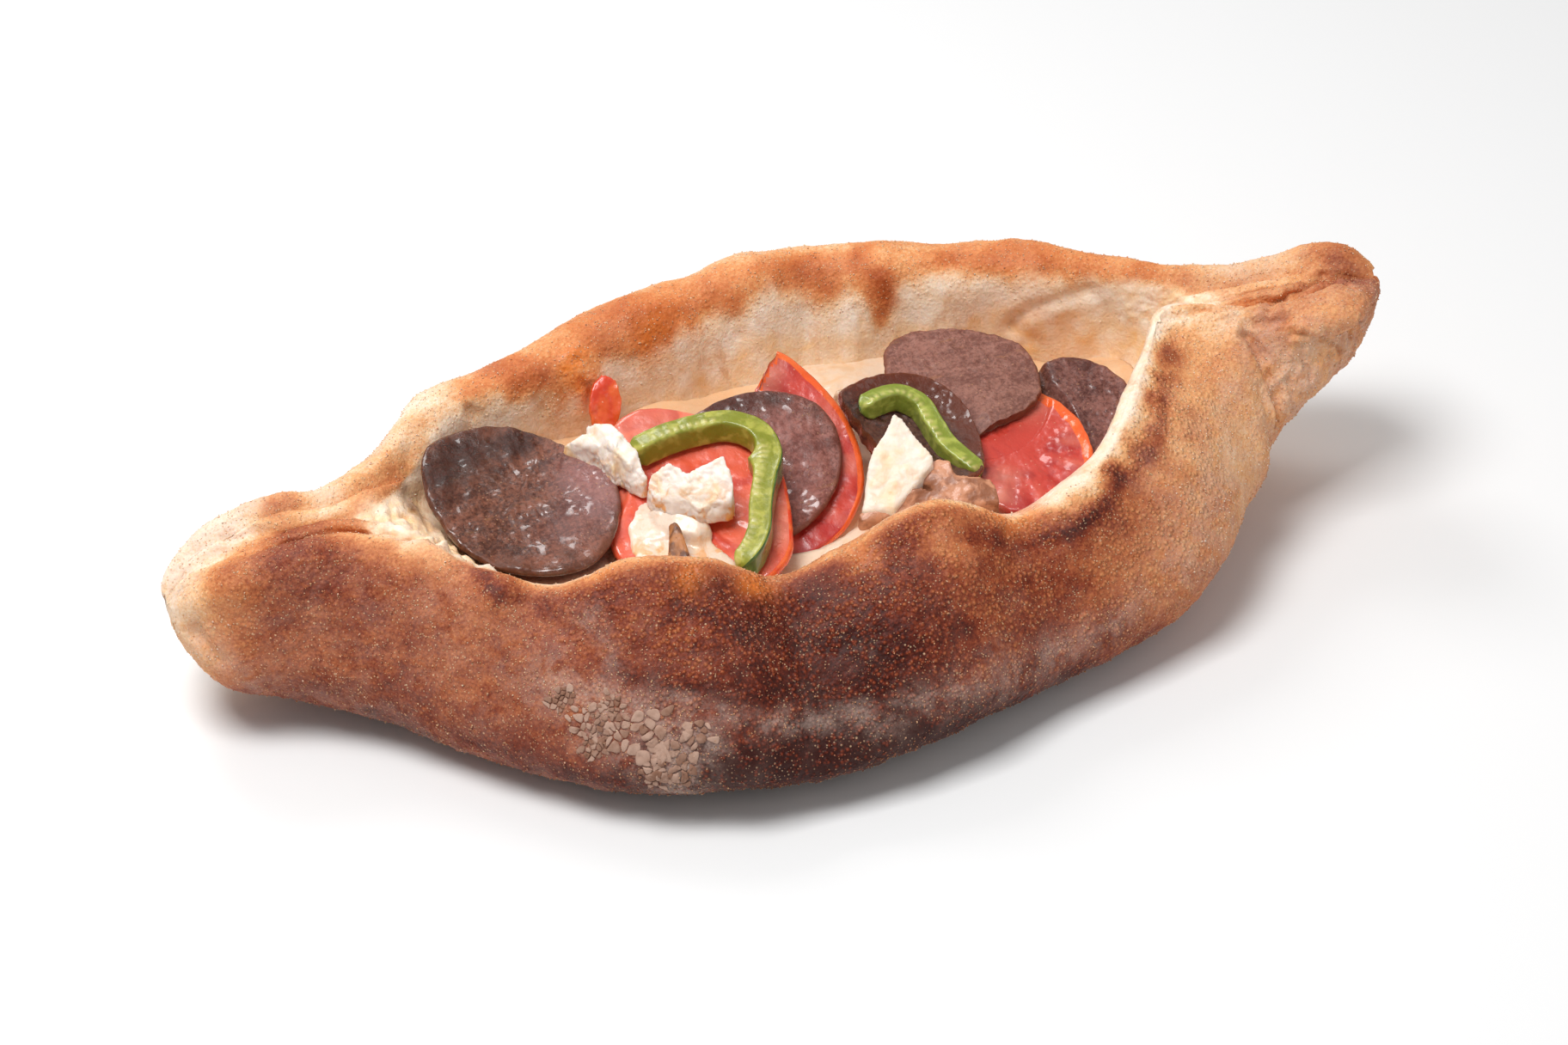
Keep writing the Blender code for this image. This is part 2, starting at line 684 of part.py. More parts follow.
def cheese_mesh():
    """A block with the cheese's uneven top, to be cut to the hollow."""
    left, right, front, rear = CHEESE_BOX
    form = bmesh.new()
    columns = round((right - left) / CHEESE_CELL)
    rows = round((rear - front) / CHEESE_CELL)
    middle = Matrix.Translation(Vector(((left + right) / 2, (front + rear) / 2, 0)) * MM)
    half = Matrix.Diagonal(((right - left) / 2 * MM, (rear - front) / 2 * MM, 1, 1))
    bmesh.ops.create_grid(form, x_segments=columns, y_segments=rows, size=1, matrix=middle @ half)
    for vertex in form.verts:
        vertex.co.z = cheese_height(vertex.co.x / MM, vertex.co.y / MM) * MM
    rim = [edge for edge in form.edges if edge.is_boundary]
    skirt = bmesh.ops.extrude_edge_only(form, edges=rim)["geom"]
    for part in skirt:
        if isinstance(part, bmesh.types.BMVert):
            part.co.z = CHEESE_BOTTOM * MM
    bmesh.ops.holes_fill(form, edges=[edge for edge in form.edges if edge.is_boundary])
    bmesh.ops.recalc_face_normals(form, faces=form.faces)
    return meshed(form, "cheese_filling")


# Assembly ---------------------------------------------------------------------------------------
def main():
    for thing in list(bpy.data.objects):
        bpy.data.objects.remove(thing)
    food = bpy.data.collections.new(NAME)
    cutters = bpy.data.collections.new(NAME + "_cutters")
    for collection in (food, cutters):
        bpy.context.scene.collection.children.link(collection)

    grid = dough_grid(STATIONS, POINTS_PER_SPAN)
    dough = new_object("dough", loft("dough", grid), food, (0.58, 0.30, 0.13), 0.6)
    hollow = new_object("hollow", loft("hollow", hollow_rings(grid, POINTS_PER_SPAN)), cutters)
    cheese = new_object("cheese_filling", cheese_mesh(), food, (0.84, 0.72, 0.50), 0.35)

    laid = []
    for spec in PIECES:
        piece = new_object(spec.name, piece_mesh(spec), food, spec.colour, spec.roughness)
        cutter = new_object(spec.name + "_cutter", swollen(piece.data, GAP), cutters)
        place(piece, spec)
        place(cutter, spec)
        laid.append((piece, cutter))
    bpy.context.view_layer.update()
    laid.append((cheese, None))

    for i, (piece, _) in enumerate(laid):
        combine(piece, hollow, "INTERSECT")
        for _, upper in laid[:i]:
            if boxes_meet(piece, upper):
                combine(piece, upper, "DIFFERENCE")
        keep_largest(piece.data)
        piece.data.shade_smooth()

    for guide in cutters.objects:
        guide.hide_render = True
        guide.display_type = "WIRE"
    middle = bpy.data.objects.new(NAME + "_middle", None)
    food.objects.link(middle)
    middle.location = Vector(BOX_SHIFT) * MM
    for thing in [dough, *(piece for piece, _ in laid), *cutters.objects]:
        thing.parent = middle


if __name__ == "__main__":
    main()
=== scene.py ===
"""The peinirli as it looks: a baked boat of dough over melted cheese, sausage, tomato, pepper and feta.

Everything is made in the bread's own frame, in millimetres, and moved to the model's frame at the end.
"""

import logging
import math
from dataclasses import dataclass, field
from enum import Enum
from typing import Sequence, Union

import bmesh
import bpy
import numpy as np
from mathutils import Matrix, Vector


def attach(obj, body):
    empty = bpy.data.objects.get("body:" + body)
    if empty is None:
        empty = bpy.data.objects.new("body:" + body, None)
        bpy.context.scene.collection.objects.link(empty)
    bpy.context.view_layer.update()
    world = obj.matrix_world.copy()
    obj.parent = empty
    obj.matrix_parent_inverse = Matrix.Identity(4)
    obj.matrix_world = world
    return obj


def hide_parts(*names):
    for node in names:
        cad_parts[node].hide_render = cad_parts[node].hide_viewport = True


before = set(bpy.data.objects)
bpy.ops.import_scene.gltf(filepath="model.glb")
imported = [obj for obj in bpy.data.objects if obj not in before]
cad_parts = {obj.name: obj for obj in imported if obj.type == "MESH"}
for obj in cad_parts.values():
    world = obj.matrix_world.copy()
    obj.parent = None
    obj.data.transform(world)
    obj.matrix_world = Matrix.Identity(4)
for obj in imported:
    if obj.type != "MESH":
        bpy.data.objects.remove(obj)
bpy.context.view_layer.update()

MM = 0.001
BOX_SHIFT = np.array((1.75, 4.5, 0.0))
BODY = "root"
log = logging.getLogger("peinirli")

Pair = tuple[float, float]
Triple = tuple[float, float, float]
Colour = tuple[float, float, float]
Number = Union[float, "Value"]
Array = np.ndarray
Socket = bpy.types.NodeSocket
Material = bpy.types.Material


def paint(red: int, green: int, blue: int) -> Colour:
    """A colour given in the everyday 0 to 255 steps, as the light values a shader takes."""
    return tuple(
        step / 12.92 if step <= 0.04045 else ((step + 0.055) / 1.055) ** 2.4
        for step in (red / 255, green / 255, blue / 255)
    )


def smooth_step(values: Array, low: float, high: float) -> Array:
    """0 below low, 1 above high, and a soft rise between."""
    share = np.clip((values - low) / (high - low), 0, 1)
    return share * share * (3 - 2 * share)


# Noise --------------------------------------------------------------------------------------------
class Noise:
    """Smooth seeded noise in space, worked out for many points at once."""

    TABLE = 4096
    SPREAD = 1.6

    def __init__(self, seed: int) -> None:
        """Draws the tables.

        Args:
            seed: the number that fixes every value.
        """
        draw = np.random.default_rng(seed)
        self.order = draw.permutation(self.TABLE)
        arrows = draw.normal(size=(self.TABLE, 3))
        self.arrows = arrows / np.linalg.norm(arrows, axis=1, keepdims=True)
        self.seats = draw.random((self.TABLE, 3))

    def _entry(self, cell: Array) -> Array:
        """The table entry of each cell of space."""
        last = self.TABLE - 1
        first = self.order[cell[..., 0] & last]
        second = self.order[(first + cell[..., 1]) & last]
        return self.order[(second + cell[..., 2]) & last]

    def at(self, points: Array, size: float) -> Array:
        """Noise from about -1 to 1 at each point.

        Args:
            points: places, one row each.
            size: how far apart its swells are, in the points' unit.

        Returns:
            One value a point.
        """
        scaled = points / size
        cell = np.floor(scaled).astype(np.int64)
        inside = scaled - cell
        ease = inside**3 * (inside * (6 * inside - 15) + 10)
        total = np.zeros(points.shape[:-1])
        for corner in np.ndindex(2, 2, 2):
            step = np.array(corner)
            weight = np.prod(np.where(step == 1, ease, 1 - ease), axis=-1)
            total += weight * ((inside - step) * self.arrows[self._entry(cell + step)]).sum(axis=-1)
        return self.SPREAD * total

    def fractal(self, points: Array, size: float, octaves: int = 3) -> Array:
        """Noise with each finer octave at half the height of the last."""
        total = np.zeros(points.shape[:-1])
        for octave in range(octaves):
            total += self.at(points + 17.3 * octave, size / 2**octave) / 2**octave
        return total

    def cells(self, points: Array, size: float) -> tuple[Array, Array]:
        """Rounded cells packed in space.

        Args:
            points: places, one row each.
            size: how wide a cell is.

        Returns:
            The distance to the nearest seat and to the border between the two nearest, in cells.
        """
        scaled = points / size
        cell = np.floor(scaled).astype(np.int64)
        nearest = np.full(points.shape[:-1], 9.0)
        second = np.full(points.shape[:-1], 9.0)
        for corner in np.ndindex(3, 3, 3):
            around = cell + np.array(corner) - 1
            seat = around + self.seats[self._entry(around)]
            gap = np.linalg.norm(scaled - seat, axis=-1)
            second = np.minimum(second, np.maximum(nearest, gap))
            nearest = np.minimum(nearest, gap)
        return nearest, second - nearest

    def vectors(self, points: Array, size: float) -> Array:
        """Three noises at once, to push points about."""
        return np.stack([self.at(points + shift, size) for shift in (0.0, 31.7, 67.9)], axis=-1)


NOISE = Noise(11)


# Shaders ------------------------------------------------------------------------------------------
@dataclass(frozen=True)
class Value:
    """A number that a shader works out at each point, for use in Python expressions."""

    graph: "Graph"
    socket: Socket

    def __add__(self, other: Number) -> "Value":
        """The sum."""
        return self.graph.maths("ADD", self, other)

    def __radd__(self, other: Number) -> "Value":
        """The sum."""
        return self.graph.maths("ADD", other, self)

    def __sub__(self, other: Number) -> "Value":
        """The difference."""
        return self.graph.maths("SUBTRACT", self, other)

    def __rsub__(self, other: Number) -> "Value":
        """The difference, the other way round."""
        return self.graph.maths("SUBTRACT", other, self)

    def __mul__(self, other: Number) -> "Value":
        """The product."""
        return self.graph.maths("MULTIPLY", self, other)

    def __rmul__(self, other: Number) -> "Value":
        """The product."""
        return self.graph.maths("MULTIPLY", other, self)

    def between(self, low: float, high: float) -> "Value":
        """0 below low, 1 above high, and a soft rise between."""
        inputs = {"Value": self, "From Min": low, "From Max": high}
        settings = {"interpolation_type": "SMOOTHSTEP"}
        return Value(self.graph, self.graph.node("ShaderNodeMapRange", settings, inputs).outputs[0])

    def clamped(self) -> "Value":
        """Kept from 0 to 1."""
        return Value(self.graph, self.graph.node("ShaderNodeClamp", {}, {"Value": self}).outputs[0])


class Graph:
    """One material's node tree, with short ways to add what the finishes need."""

    def __init__(self, name: str) -> None:
        """Makes the material.

        Args:
            name: what the material is called.
        """
        self.material = bpy.data.materials.new(name)
        self.material.use_nodes = True
        self.tree = self.material.node_tree
        self.shader = next(node for node in self.tree.nodes if node.type == "BSDF_PRINCIPLED")
        self.place = self.node("ShaderNodeTexCoord", {}, {}).outputs["Object"]

    def node(self, kind: str, settings: dict, inputs: dict) -> bpy.types.Node:
        """Adds a node.

        Args:
            kind: the node's type.
            settings: its properties, set first; "stops" fills a ramp.
            inputs: a value or a link for each socket, by name or number.

        Returns:
            The node.
        """
        made = self.tree.nodes.new(kind)
        for key, setting in settings.items():
            if key != "stops":
                setattr(made, key, setting)
                continue
            elements = made.color_ramp.elements
            while len(elements) < len(setting):
                elements.new(0.5)
            for element, (position, colour) in zip(elements, setting):
                element.position = position
                element.color = (*colour, 1)
        for key, value in inputs.items():
            self.feed(made.inputs[key], value)
        return made

    def feed(self, socket: Socket, value: object) -> None:
        """Links or sets one socket."""
        if isinstance(value, Value):
            value = value.socket
        if isinstance(value, Socket):
            self.tree.links.new(value, socket)
        elif isinstance(value, tuple) and len(socket.default_value) == 4:
            socket.default_value = (*value, 1)
        else:
            socket.default_value = value

    def maths(self, operation: str, *values: Number) -> Value:
        """A Math node on one or two numbers."""
        made = self.node("ShaderNodeMath", {"operation": operation}, dict(enumerate(values)))
        return Value(self, made.outputs[0])

    def most(self, first: Number, second: Number) -> Value:
        """The larger of two numbers."""
        return self.maths("MAXIMUM", first, second)

    def mask(self, name: str) -> Value:
        """A value kept at each vertex of the mesh."""
        made = self.node("ShaderNodeAttribute", {"attribute_name": name}, {})
        return Value(self, made.outputs["Fac"])

    def stretched(self, stretch: Triple) -> Socket:
        """The place on the piece, drawn out along the axes."""
        settings = {"operation": "MULTIPLY"}
        return self.node("ShaderNodeVectorMath", settings, {0: self.place, 1: stretch}).outputs[0]

    def noise(
        self,
        size: float,
        detail: float = 3,
        twist: float = 0.0,
        stretch: Triple = (1, 1, 1),
        rough: float = 0.5,
    ) -> Value:
        """Soft noise from 0 to 1.

        Args:
            size: how wide its swells are, in millimetres.
            detail: how many finer octaves it has.
            twist: how far it is bent by itself.
            stretch: how the place is drawn out along the axes first.
            rough: how much each finer octave adds.

        Returns:
            The noise.
        """
        place = self.place if stretch == (1, 1, 1) else self.stretched(stretch)
        inputs = {"Vector": place, "Scale": 1 / (size * MM), "Detail": detail}
        inputs.update({"Roughness": rough, "Distortion": twist})
        return Value(self, self.node("ShaderNodeTexNoise", {}, inputs).outputs[0])

    def cells(self, size: float) -> Value:
        """How far the nearest of many scattered points is, in the size between them."""
        made = self.node("ShaderNodeTexVoronoi", {}, {"Vector": self.place, "Scale": 1 / (size * MM)})
        return Value(self, made.outputs["Distance"])

    def dots(self, size: float, reach: tuple, patch: float, detail: float, bounds: tuple) -> Value:
        """Scattered dots that come in patches.

        Args:
            size: how far apart the dots are, in millimetres.
            reach: where a dot starts to fade and where it ends, in cells.
            patch: how wide the patches are, in millimetres.
            detail: how many finer octaves the patches have.
            bounds: the patches' noise where dots begin and where they are full.

        Returns:
            1 on a dot, 0 between.
        """
        return (1 - self.cells(size).between(*reach)) * self.noise(patch, detail).between(*bounds)

    def ramp(self, value: Value, stops: Sequence[tuple[float, Colour]]) -> Socket:
        """Colours along a value."""
        made = self.node("ShaderNodeValToRGB", {"stops": stops}, {0: value})
        return made.outputs["Color"]

    def mix(self, first: object, second: object, share: Number) -> Socket:
        """The first colour going over to the second."""
        made = self.node("ShaderNodeMix", {"data_type": "RGBA"}, {"Factor": share})
        for number, colour in ((6, first), (7, second)):
            self.feed(made.inputs[number], colour)
        return made.outputs[2]

    def bump(self, height: Value, depth: float) -> Socket:
        """The normal of fine relief, whose height of 1 stands for the depth in millimetres."""
        return self.node("ShaderNodeBump", {}, {"Height": height, "Distance": depth * MM}).outputs["Normal"]

    def finish(self, constants: dict, varying: dict) -> Material:
        """Sets the shader.

        Args:
            constants: values that are the same all over.
            varying: links for what changes over the surface.

        Returns:
            The material.
        """
        for key, value in {**constants, **varying}.items():
            self.feed(self.shader.inputs[key], value)
        return self.material

    def surface(
        self, colour: object, rough: Value, coat: Value, height: Value, depth: float, constants: dict
    ) -> Material:
        """Sets the shader for a surface with wet places and fine relief.

        Args:
            colour: its colour.
            rough: how rough it is.
            coat: how wet it is.
            height: its relief, from 0 to 1.
            depth: what 1 of the relief stands for, in millimetres.
            constants: values that are the same all over.

        Returns:
            The material.
        """
        varying = {"Base Color": colour, "Roughness": rough.clamped(), "Coat Weight": coat.clamped()}
        return self.finish(constants, {**varying, "Normal": self.bump(height, depth)})


class Slot(Enum):
    """The record's material slots."""

    CRUST = "crust"
    CHEESE = "cheese"
    FETA = "feta"
    SAUSAGE = "sausage"
    MEAT = "meat"
    TOMATO = "tomato"
    PEPPER = "pepper"
    ONION = "onion"


# Finishes -----------------------------------------------------------------------------------------
@dataclass(frozen=True)
class CrustFinish:
    """Baked dough: cream where it stayed soft, golden to dark brown where it baked, dusted with flour, with
    painted shade low on the front and painted highlights on its blisters.
    """

    browning: tuple = (
        (0.00, paint(252, 228, 206)),
        (0.15, paint(244, 202, 160)),
        (0.30, paint(232, 168, 112)),
        (0.45, paint(208, 132, 82)),
        (0.60, paint(176, 98, 58)),
        (0.76, paint(130, 54, 28)),
        (0.90, paint(86, 28, 14)),
        (1.00, paint(56, 17, 10)),
    )
    crumb: Colour = paint(253, 234, 214)
    golden: Colour = paint(244, 192, 124)
    soaked: Colour = paint(216, 160, 110)
    ruddy: Colour = paint(222, 112, 44)
    stain: Colour = paint(124, 68, 28)
    flour: Colour = paint(212, 184, 170)
    speck: Colour = paint(244, 204, 164)
    oil: Colour = paint(244, 132, 34)
    depth: float = 0.5

    def material(self) -> Material:
        """Builds the crust."""
        g = Graph("baked_crust")
        names = ("brown", "crumb", "flour", "oil", "golden", "blistered", "ruddy", "stained")
        brown, crumb, dust, oil, golden, blistered, ruddy, stained = map(g.mask, names)
        pebble = 1 - g.cells(1.15).between(0.05, 0.62)
        pebbles_and_painted_highlight = pebble * g.noise(9, 2).between(0.34, 0.52) * blistered
        mottle = g.noise(3.4, 5, 0.3, rough=0.62) - 0.5
        fine = g.noise(0.8, 3, rough=0.6) - 0.5
        pores = g.noise(0.45, 2, rough=0.7) - 0.5
        uneven = 0.26 * mottle + 0.34 * fine + 0.3 * pores
        # Painted highlight and shade: the pebble tops are painted lighter and the hollows between them a
        # little darker.
        baked = (brown + uneven + (0.04 - 0.26 * pebbles_and_painted_highlight) * brown).clamped()
        colour = g.ramp(baked, self.browning)
        colour = g.mix(colour, self.ruddy, 0.30 * ruddy * baked.between(0.10, 0.45))
        pleats = g.noise(5.5, 4, 0.6, (1, 0.7, 0.45))
        toasted = golden + 1.5 * (g.noise(5, 4, 0.5) - 0.5) + 0.5 * mottle
        soft = g.mix(self.crumb, self.golden, toasted.clamped())
        # Darker vertical streaks on the inner wall: soaked dough, with painted shade in its pleats.
        soft = g.mix(soft, self.soaked, (pleats + 0.3 * fine).between(0.50, 0.74) * 0.6)
        soft = g.mix(soft, self.stain, (stained * (0.8 + mottle + fine)).clamped())
        colour = g.mix(colour, soft, crumb * (1 - 0.8 * brown.between(0.2, 0.6)))
        colour = g.mix(colour, self.oil, (0.95 * oil * (0.8 + mottle)).clamped())
        grain = g.noise(0.5, 2, rough=0.7)
        film = g.noise(5.0, 5, 0.5, rough=0.6).between(0.34, 0.60)
        dusted = dust * (0.15 + 1.7 * (grain - 0.3)) * (0.3 + film) + dust * (0.04 + 0.25 * film)
        colour = g.mix(colour, self.flour, 0.8 * dusted.clamped())
        small = g.dots(0.95, (0.13, 0.24), 5, 3, (0.36, 0.58))
        large = g.dots(2.3, (0.08, 0.14), 9, 2, (0.40, 0.6))
        spot = g.most(small, large) * (1 - crumb)
        colour = g.mix(colour, self.speck, (0.85 - 0.35 * brown) * spot)
        rough = 0.62 + 0.25 * dust - 0.10 * brown - 0.3 * oil - 0.30 * crumb + 0.3 * fine
        height = 0.8 * pebbles_and_painted_highlight * (1 - 0.8 * crumb) + 0.4 * g.noise(0.7, 3)
        height = height + 0.35 * g.noise(2.0, 3) + 0.35 * spot
        coat = 0.5 * oil + 0.35 * crumb * pleats.between(0.4, 0.6)
        constants = {"Specular IOR Level": 0.22, "Coat Roughness": 0.22}
        constants.update({"Subsurface Weight": 0.10, "Subsurface Scale": 0.004})
        return g.surface(colour, rough, coat, height, self.depth, constants)


@dataclass(frozen=True)
class GrainFinish:
    """Semolina: small hard grains, pale on flour and toasted where the crust is brown."""

    pale: Colour = paint(238, 212, 190)
    toasted: Colour = paint(218, 164, 122)
    brown: Colour = paint(164, 106, 76)

    def material(self) -> Material:
        """Builds the grains' finish."""
        g = Graph("semolina")
        colour = g.ramp(g.mask("toasted"), ((0.0, self.pale), (0.5, self.toasted), (1.0, self.brown)))
        constants = {"Roughness": 0.4, "Specular IOR Level": 0.5}
        constants.update({"Subsurface Weight": 0.2, "Subsurface Scale": 0.001})
        return g.finish(constants, {"Base Color": colour})


@dataclass(frozen=True)
class FlakeFinish:
    """Dried flour paste that cracked into flakes."""

    pale: Colour = paint(188, 154, 136)
    shade: Colour = paint(142, 102, 82)
    depth: float = 0.12

    def material(self) -> Material:
        """Builds the flakes' finish."""
        g = Graph("flour_flakes")
        cloud = 0.6 * g.noise(2.2, 3) + 0.4 * g.mask("tone")
        colour = g.mix(self.pale, self.shade, cloud.between(0.30, 0.75))
        constants = {"Roughness": 0.9, "Specular IOR Level": 0.2}
        return g.finish(constants, {"Base Color": colour, "Normal": g.bump(g.noise(0.5, 3), self.depth)})


@dataclass(frozen=True)
class SausageFinish:
    """A fried slice of dark sausage: ground meat with fat, pepper and a charred skin."""

    name: str
    lean: Colour
    light: Colour
    skin: Colour
    edge: Colour = paint(120, 66, 42)
    haze: Colour = paint(176, 119, 113)
    oil: Colour = paint(150, 98, 44)
    fat: Colour = paint(196, 146, 108)
    pepper: Colour = paint(30, 15, 12)
    roughness: float = 0.3
    wet: float = 0.5
    depth: float = 0.3

    def material(self) -> Material:
        """Builds this slice's finish."""
        g = Graph(self.name)
        blotch = g.noise(7.0, 4, 1.2, (0.5, 1, 1))
        grain = g.noise(0.9, 4, 0.3, rough=0.75)
        colour = g.mix(self.lean, self.light, (0.4 * blotch + 0.6 * grain).between(0.40, 0.62))
        haze = g.mask("haze")
        colour = g.mix(colour, self.haze, (haze * (0.25 + 0.9 * grain)).clamped())
        streak = g.noise(2.4, 3, 0.6, (0.3, 1, 1)).between(0.62, 0.78)
        colour = g.mix(colour, self.oil, 0.4 * streak * (1 - haze))
        fat = g.dots(1.25, (0.10, 0.20), 5, 3, (0.42, 0.58))
        colour = g.mix(colour, self.fat, 0.5 * fat)
        peppered = g.dots(1.1, (0.07, 0.14), 4, 2, (0.44, 0.58))
        colour = g.mix(colour, self.pepper, 0.8 * peppered)
        charred = (g.mask("char") + 0.5 * (g.noise(2.6, 4, 0.6) - 0.5)).between(0.15, 0.85)
        colour = g.mix(colour, self.skin, 0.9 * charred)
        rim = (g.mask("rim") + 0.16 * (g.noise(1.8, 3) - 0.5)).between(0.93, 1.0)
        colour = g.mix(colour, self.edge, 0.7 * rim)
        wet = g.noise(8, 4, 0.5).between(0.46, 0.58)
        bubble = g.dots(2.6, (0.05, 0.42), 7, 2, (0.5, 0.62))
        rough = self.roughness + 0.22 * (1 - wet) + 0.3 * (grain - 0.5)
        height = 0.8 * g.noise(1.6, 4, 0.4) + 0.9 * g.noise(4.5, 2, 0.5) + 0.35 * grain
        height = height + 0.2 * fat + 0.6 * bubble + 0.4 * charred * grain
        constants = {"Specular IOR Level": 0.3, "Coat Roughness": 0.05, "Subsurface Weight": 0.04}
        return g.surface(colour, rough, self.wet * wet, height, self.depth, constants)


@dataclass(frozen=True)
class TomatoFinish:
    """A cooked slice of tomato: soft wet flesh inside a thin bright skin."""

    name: str
    flesh: Colour = paint(204, 68, 52)
    deep: Colour = paint(172, 42, 36)
    pale: Colour = paint(236, 136, 110)
    milk: Colour = paint(240, 176, 150)
    fleck: Colour = paint(246, 186, 156)
    skin: Colour = paint(232, 72, 30)
    bright: Colour = paint(244, 112, 52)
    wet: float = 0.6
    depth: float = 0.2

    def material(self) -> Material:
        """Builds this slice's finish."""
        g = Graph(self.name)
        swirl = g.noise(9, 3, 1.0)
        colour = g.mix(self.deep, self.flesh, swirl.between(0.36, 0.58))
        fibre = g.mask("fibre") + 0.5 * (g.noise(2.0, 3) - 0.5)
        colour = g.mix(colour, self.pale, 0.35 * fibre.between(0.35, 0.95))
        milky = (g.mask("haze") * (0.5 + g.noise(2.5, 3))).clamped()
        colour = g.mix(colour, self.milk, 0.7 * milky)
        fleck = g.dots(1.5, (0.07, 0.16), 5, 2, (0.46, 0.6))
        colour = g.mix(colour, self.fleck, 0.6 * fleck)
        rind = (g.mask("rind") + 0.2 * (g.noise(2.5, 2) - 0.5)).between(0.35, 0.65)
        edge = g.mix(self.skin, self.bright, g.noise(3, 2).between(0.45, 0.65))
        colour = g.mix(colour, edge, rind)
        wet = g.noise(7, 2).between(0.35, 0.6)
        rough = 0.32 - 0.12 * rind + 0.14 * (1 - wet)
        height = 0.6 * g.noise(1.9, 3, 0.5) + 0.35 * g.noise(0.8, 2) + 0.3 * fleck
        constants = {"Specular IOR Level": 0.5, "Coat Roughness": 0.08, "Subsurface Weight": 0.2}
        constants.update({"Subsurface Radius": (0.004, 0.0012, 0.0008), "Subsurface Scale": 0.6})
        return g.surface(colour, rough, self.wet * wet, height, self.depth, constants)


@dataclass(frozen=True)
class PepperFinish:
    """A cooked strip of green pepper: pale ribbed flesh between a dark skin with painted sheen and a bright
    inside.
    """

    name: str
    flesh: Colour = paint(134, 138, 38)
    bright: Colour = paint(176, 174, 74)
    skin: Colour = paint(46, 88, 36)
    skin_sheen: Colour = paint(92, 132, 60)
    seed: Colour = paint(214, 200, 128)
    depth: float = 0.25

    def material(self) -> Material:
        """Builds this strip's finish."""
        g = Graph(self.name)
        cloud = g.noise(3, 3, 0.5)
        colour = g.mix(self.flesh, self.bright, cloud.between(0.42, 0.66))
        # Painted glints: the row of flesh lumps along the ridge is painted pale.
        colour = g.mix(colour, self.seed, 0.8 * g.mask("lumps"))
        skinned = (g.mask("skin") + 0.25 * (g.noise(2, 2) - 0.5)).between(0.35, 0.75)
        # Painted sheen: lighter green patches on the dark skin.
        shade = g.mix(self.skin, self.skin_sheen, g.noise(5, 2).between(0.4, 0.65))
        colour = g.mix(colour, shade, skinned)
        rough = 0.34 - 0.12 * skinned + 0.2 * (g.noise(1.5, 2) - 0.5)
        height = 0.6 * g.noise(1.1, 3) * (1 - 0.7 * skinned)
        constants = {"Specular IOR Level": 0.5, "Coat Roughness": 0.1, "Subsurface Weight": 0.12}
        constants.update({"Subsurface Radius": (0.001, 0.002, 0.0004), "Subsurface Scale": 0.6})
        return g.surface(colour, rough, 0.3 + 0.4 * skinned, height, self.depth, constants)


@dataclass(frozen=True)
class CheeseFinish:
    """Cheese: white crumbled feta or cream that has melted, stained by the oil round it."""

    name: str
    white: Colour = paint(246, 234, 224)
    cream: Colour = paint(244, 216, 178)
    stain: Colour = paint(238, 160, 70)
    soaked: Colour = paint(232, 186, 140)
    stained: float = 0.5
    roughness: float = 0.5
    wet: float = 0.1
    depth: float = 0.22

    def material(self) -> Material:
        """Builds this cheese's finish."""
        g = Graph(self.name)
        cloud = g.noise(5, 3, 0.6)
        colour = g.mix(self.white, self.cream, cloud.between(0.45, 0.75))
        colour = g.mix(colour, self.soaked, 0.85 * g.mask("soaked"))
        low = g.mask("low")
        spot = g.noise(3.4, 3, 0.8).between(0.50, 0.64)
        oily = self.stained * (0.9 * spot * (0.35 + low) + 0.12 * low)
        colour = g.mix(colour, self.stain, oily.clamped())
        grain = g.noise(0.7, 3, rough=0.6)
        rough = self.roughness + 0.25 * (grain - 0.5)
        height = 0.5 * grain + 0.5 * g.noise(1.8, 3)
        coat = self.wet * (0.4 + g.noise(4, 2))
        constants = {"Specular IOR Level": 0.45, "Coat Roughness": 0.15, "Subsurface Weight": 0.25}
        constants.update({"Subsurface Radius": (0.002, 0.0015, 0.001), "Subsurface Scale": 0.8})
        return g.surface(colour, rough, coat, height, self.depth, constants)


@dataclass(frozen=True)
class MeatFinish:
    """Browned minced meat or mushroom, rough and moist."""

    name: str
    light: Colour = paint(186, 132, 98)
    dark: Colour = paint(104, 60, 36)
    speck: Colour = paint(48, 26, 16)
    wet: float = 0.25
    depth: float = 0.3

    def material(self) -> Material:
        """Builds this piece's finish."""
        g = Graph(self.name)
        cloud = g.noise(3.0, 4, 0.6)
        colour = g.mix(self.dark, self.light, cloud.between(0.36, 0.62))
        speck = 1 - g.cells(1.3).between(0.07, 0.16)
        colour = g.mix(colour, self.speck, 0.5 * speck)
        grain = g.noise(0.8, 3)
        height = 0.6 * grain + 0.5 * g.noise(2, 3)
        rough = 0.5 + 0.3 * (grain - 0.5)
        constants = {"Specular IOR Level": 0.5, "Coat Roughness": 0.15}
        return g.surface(colour, rough, self.wet * cloud, height, self.depth, constants)


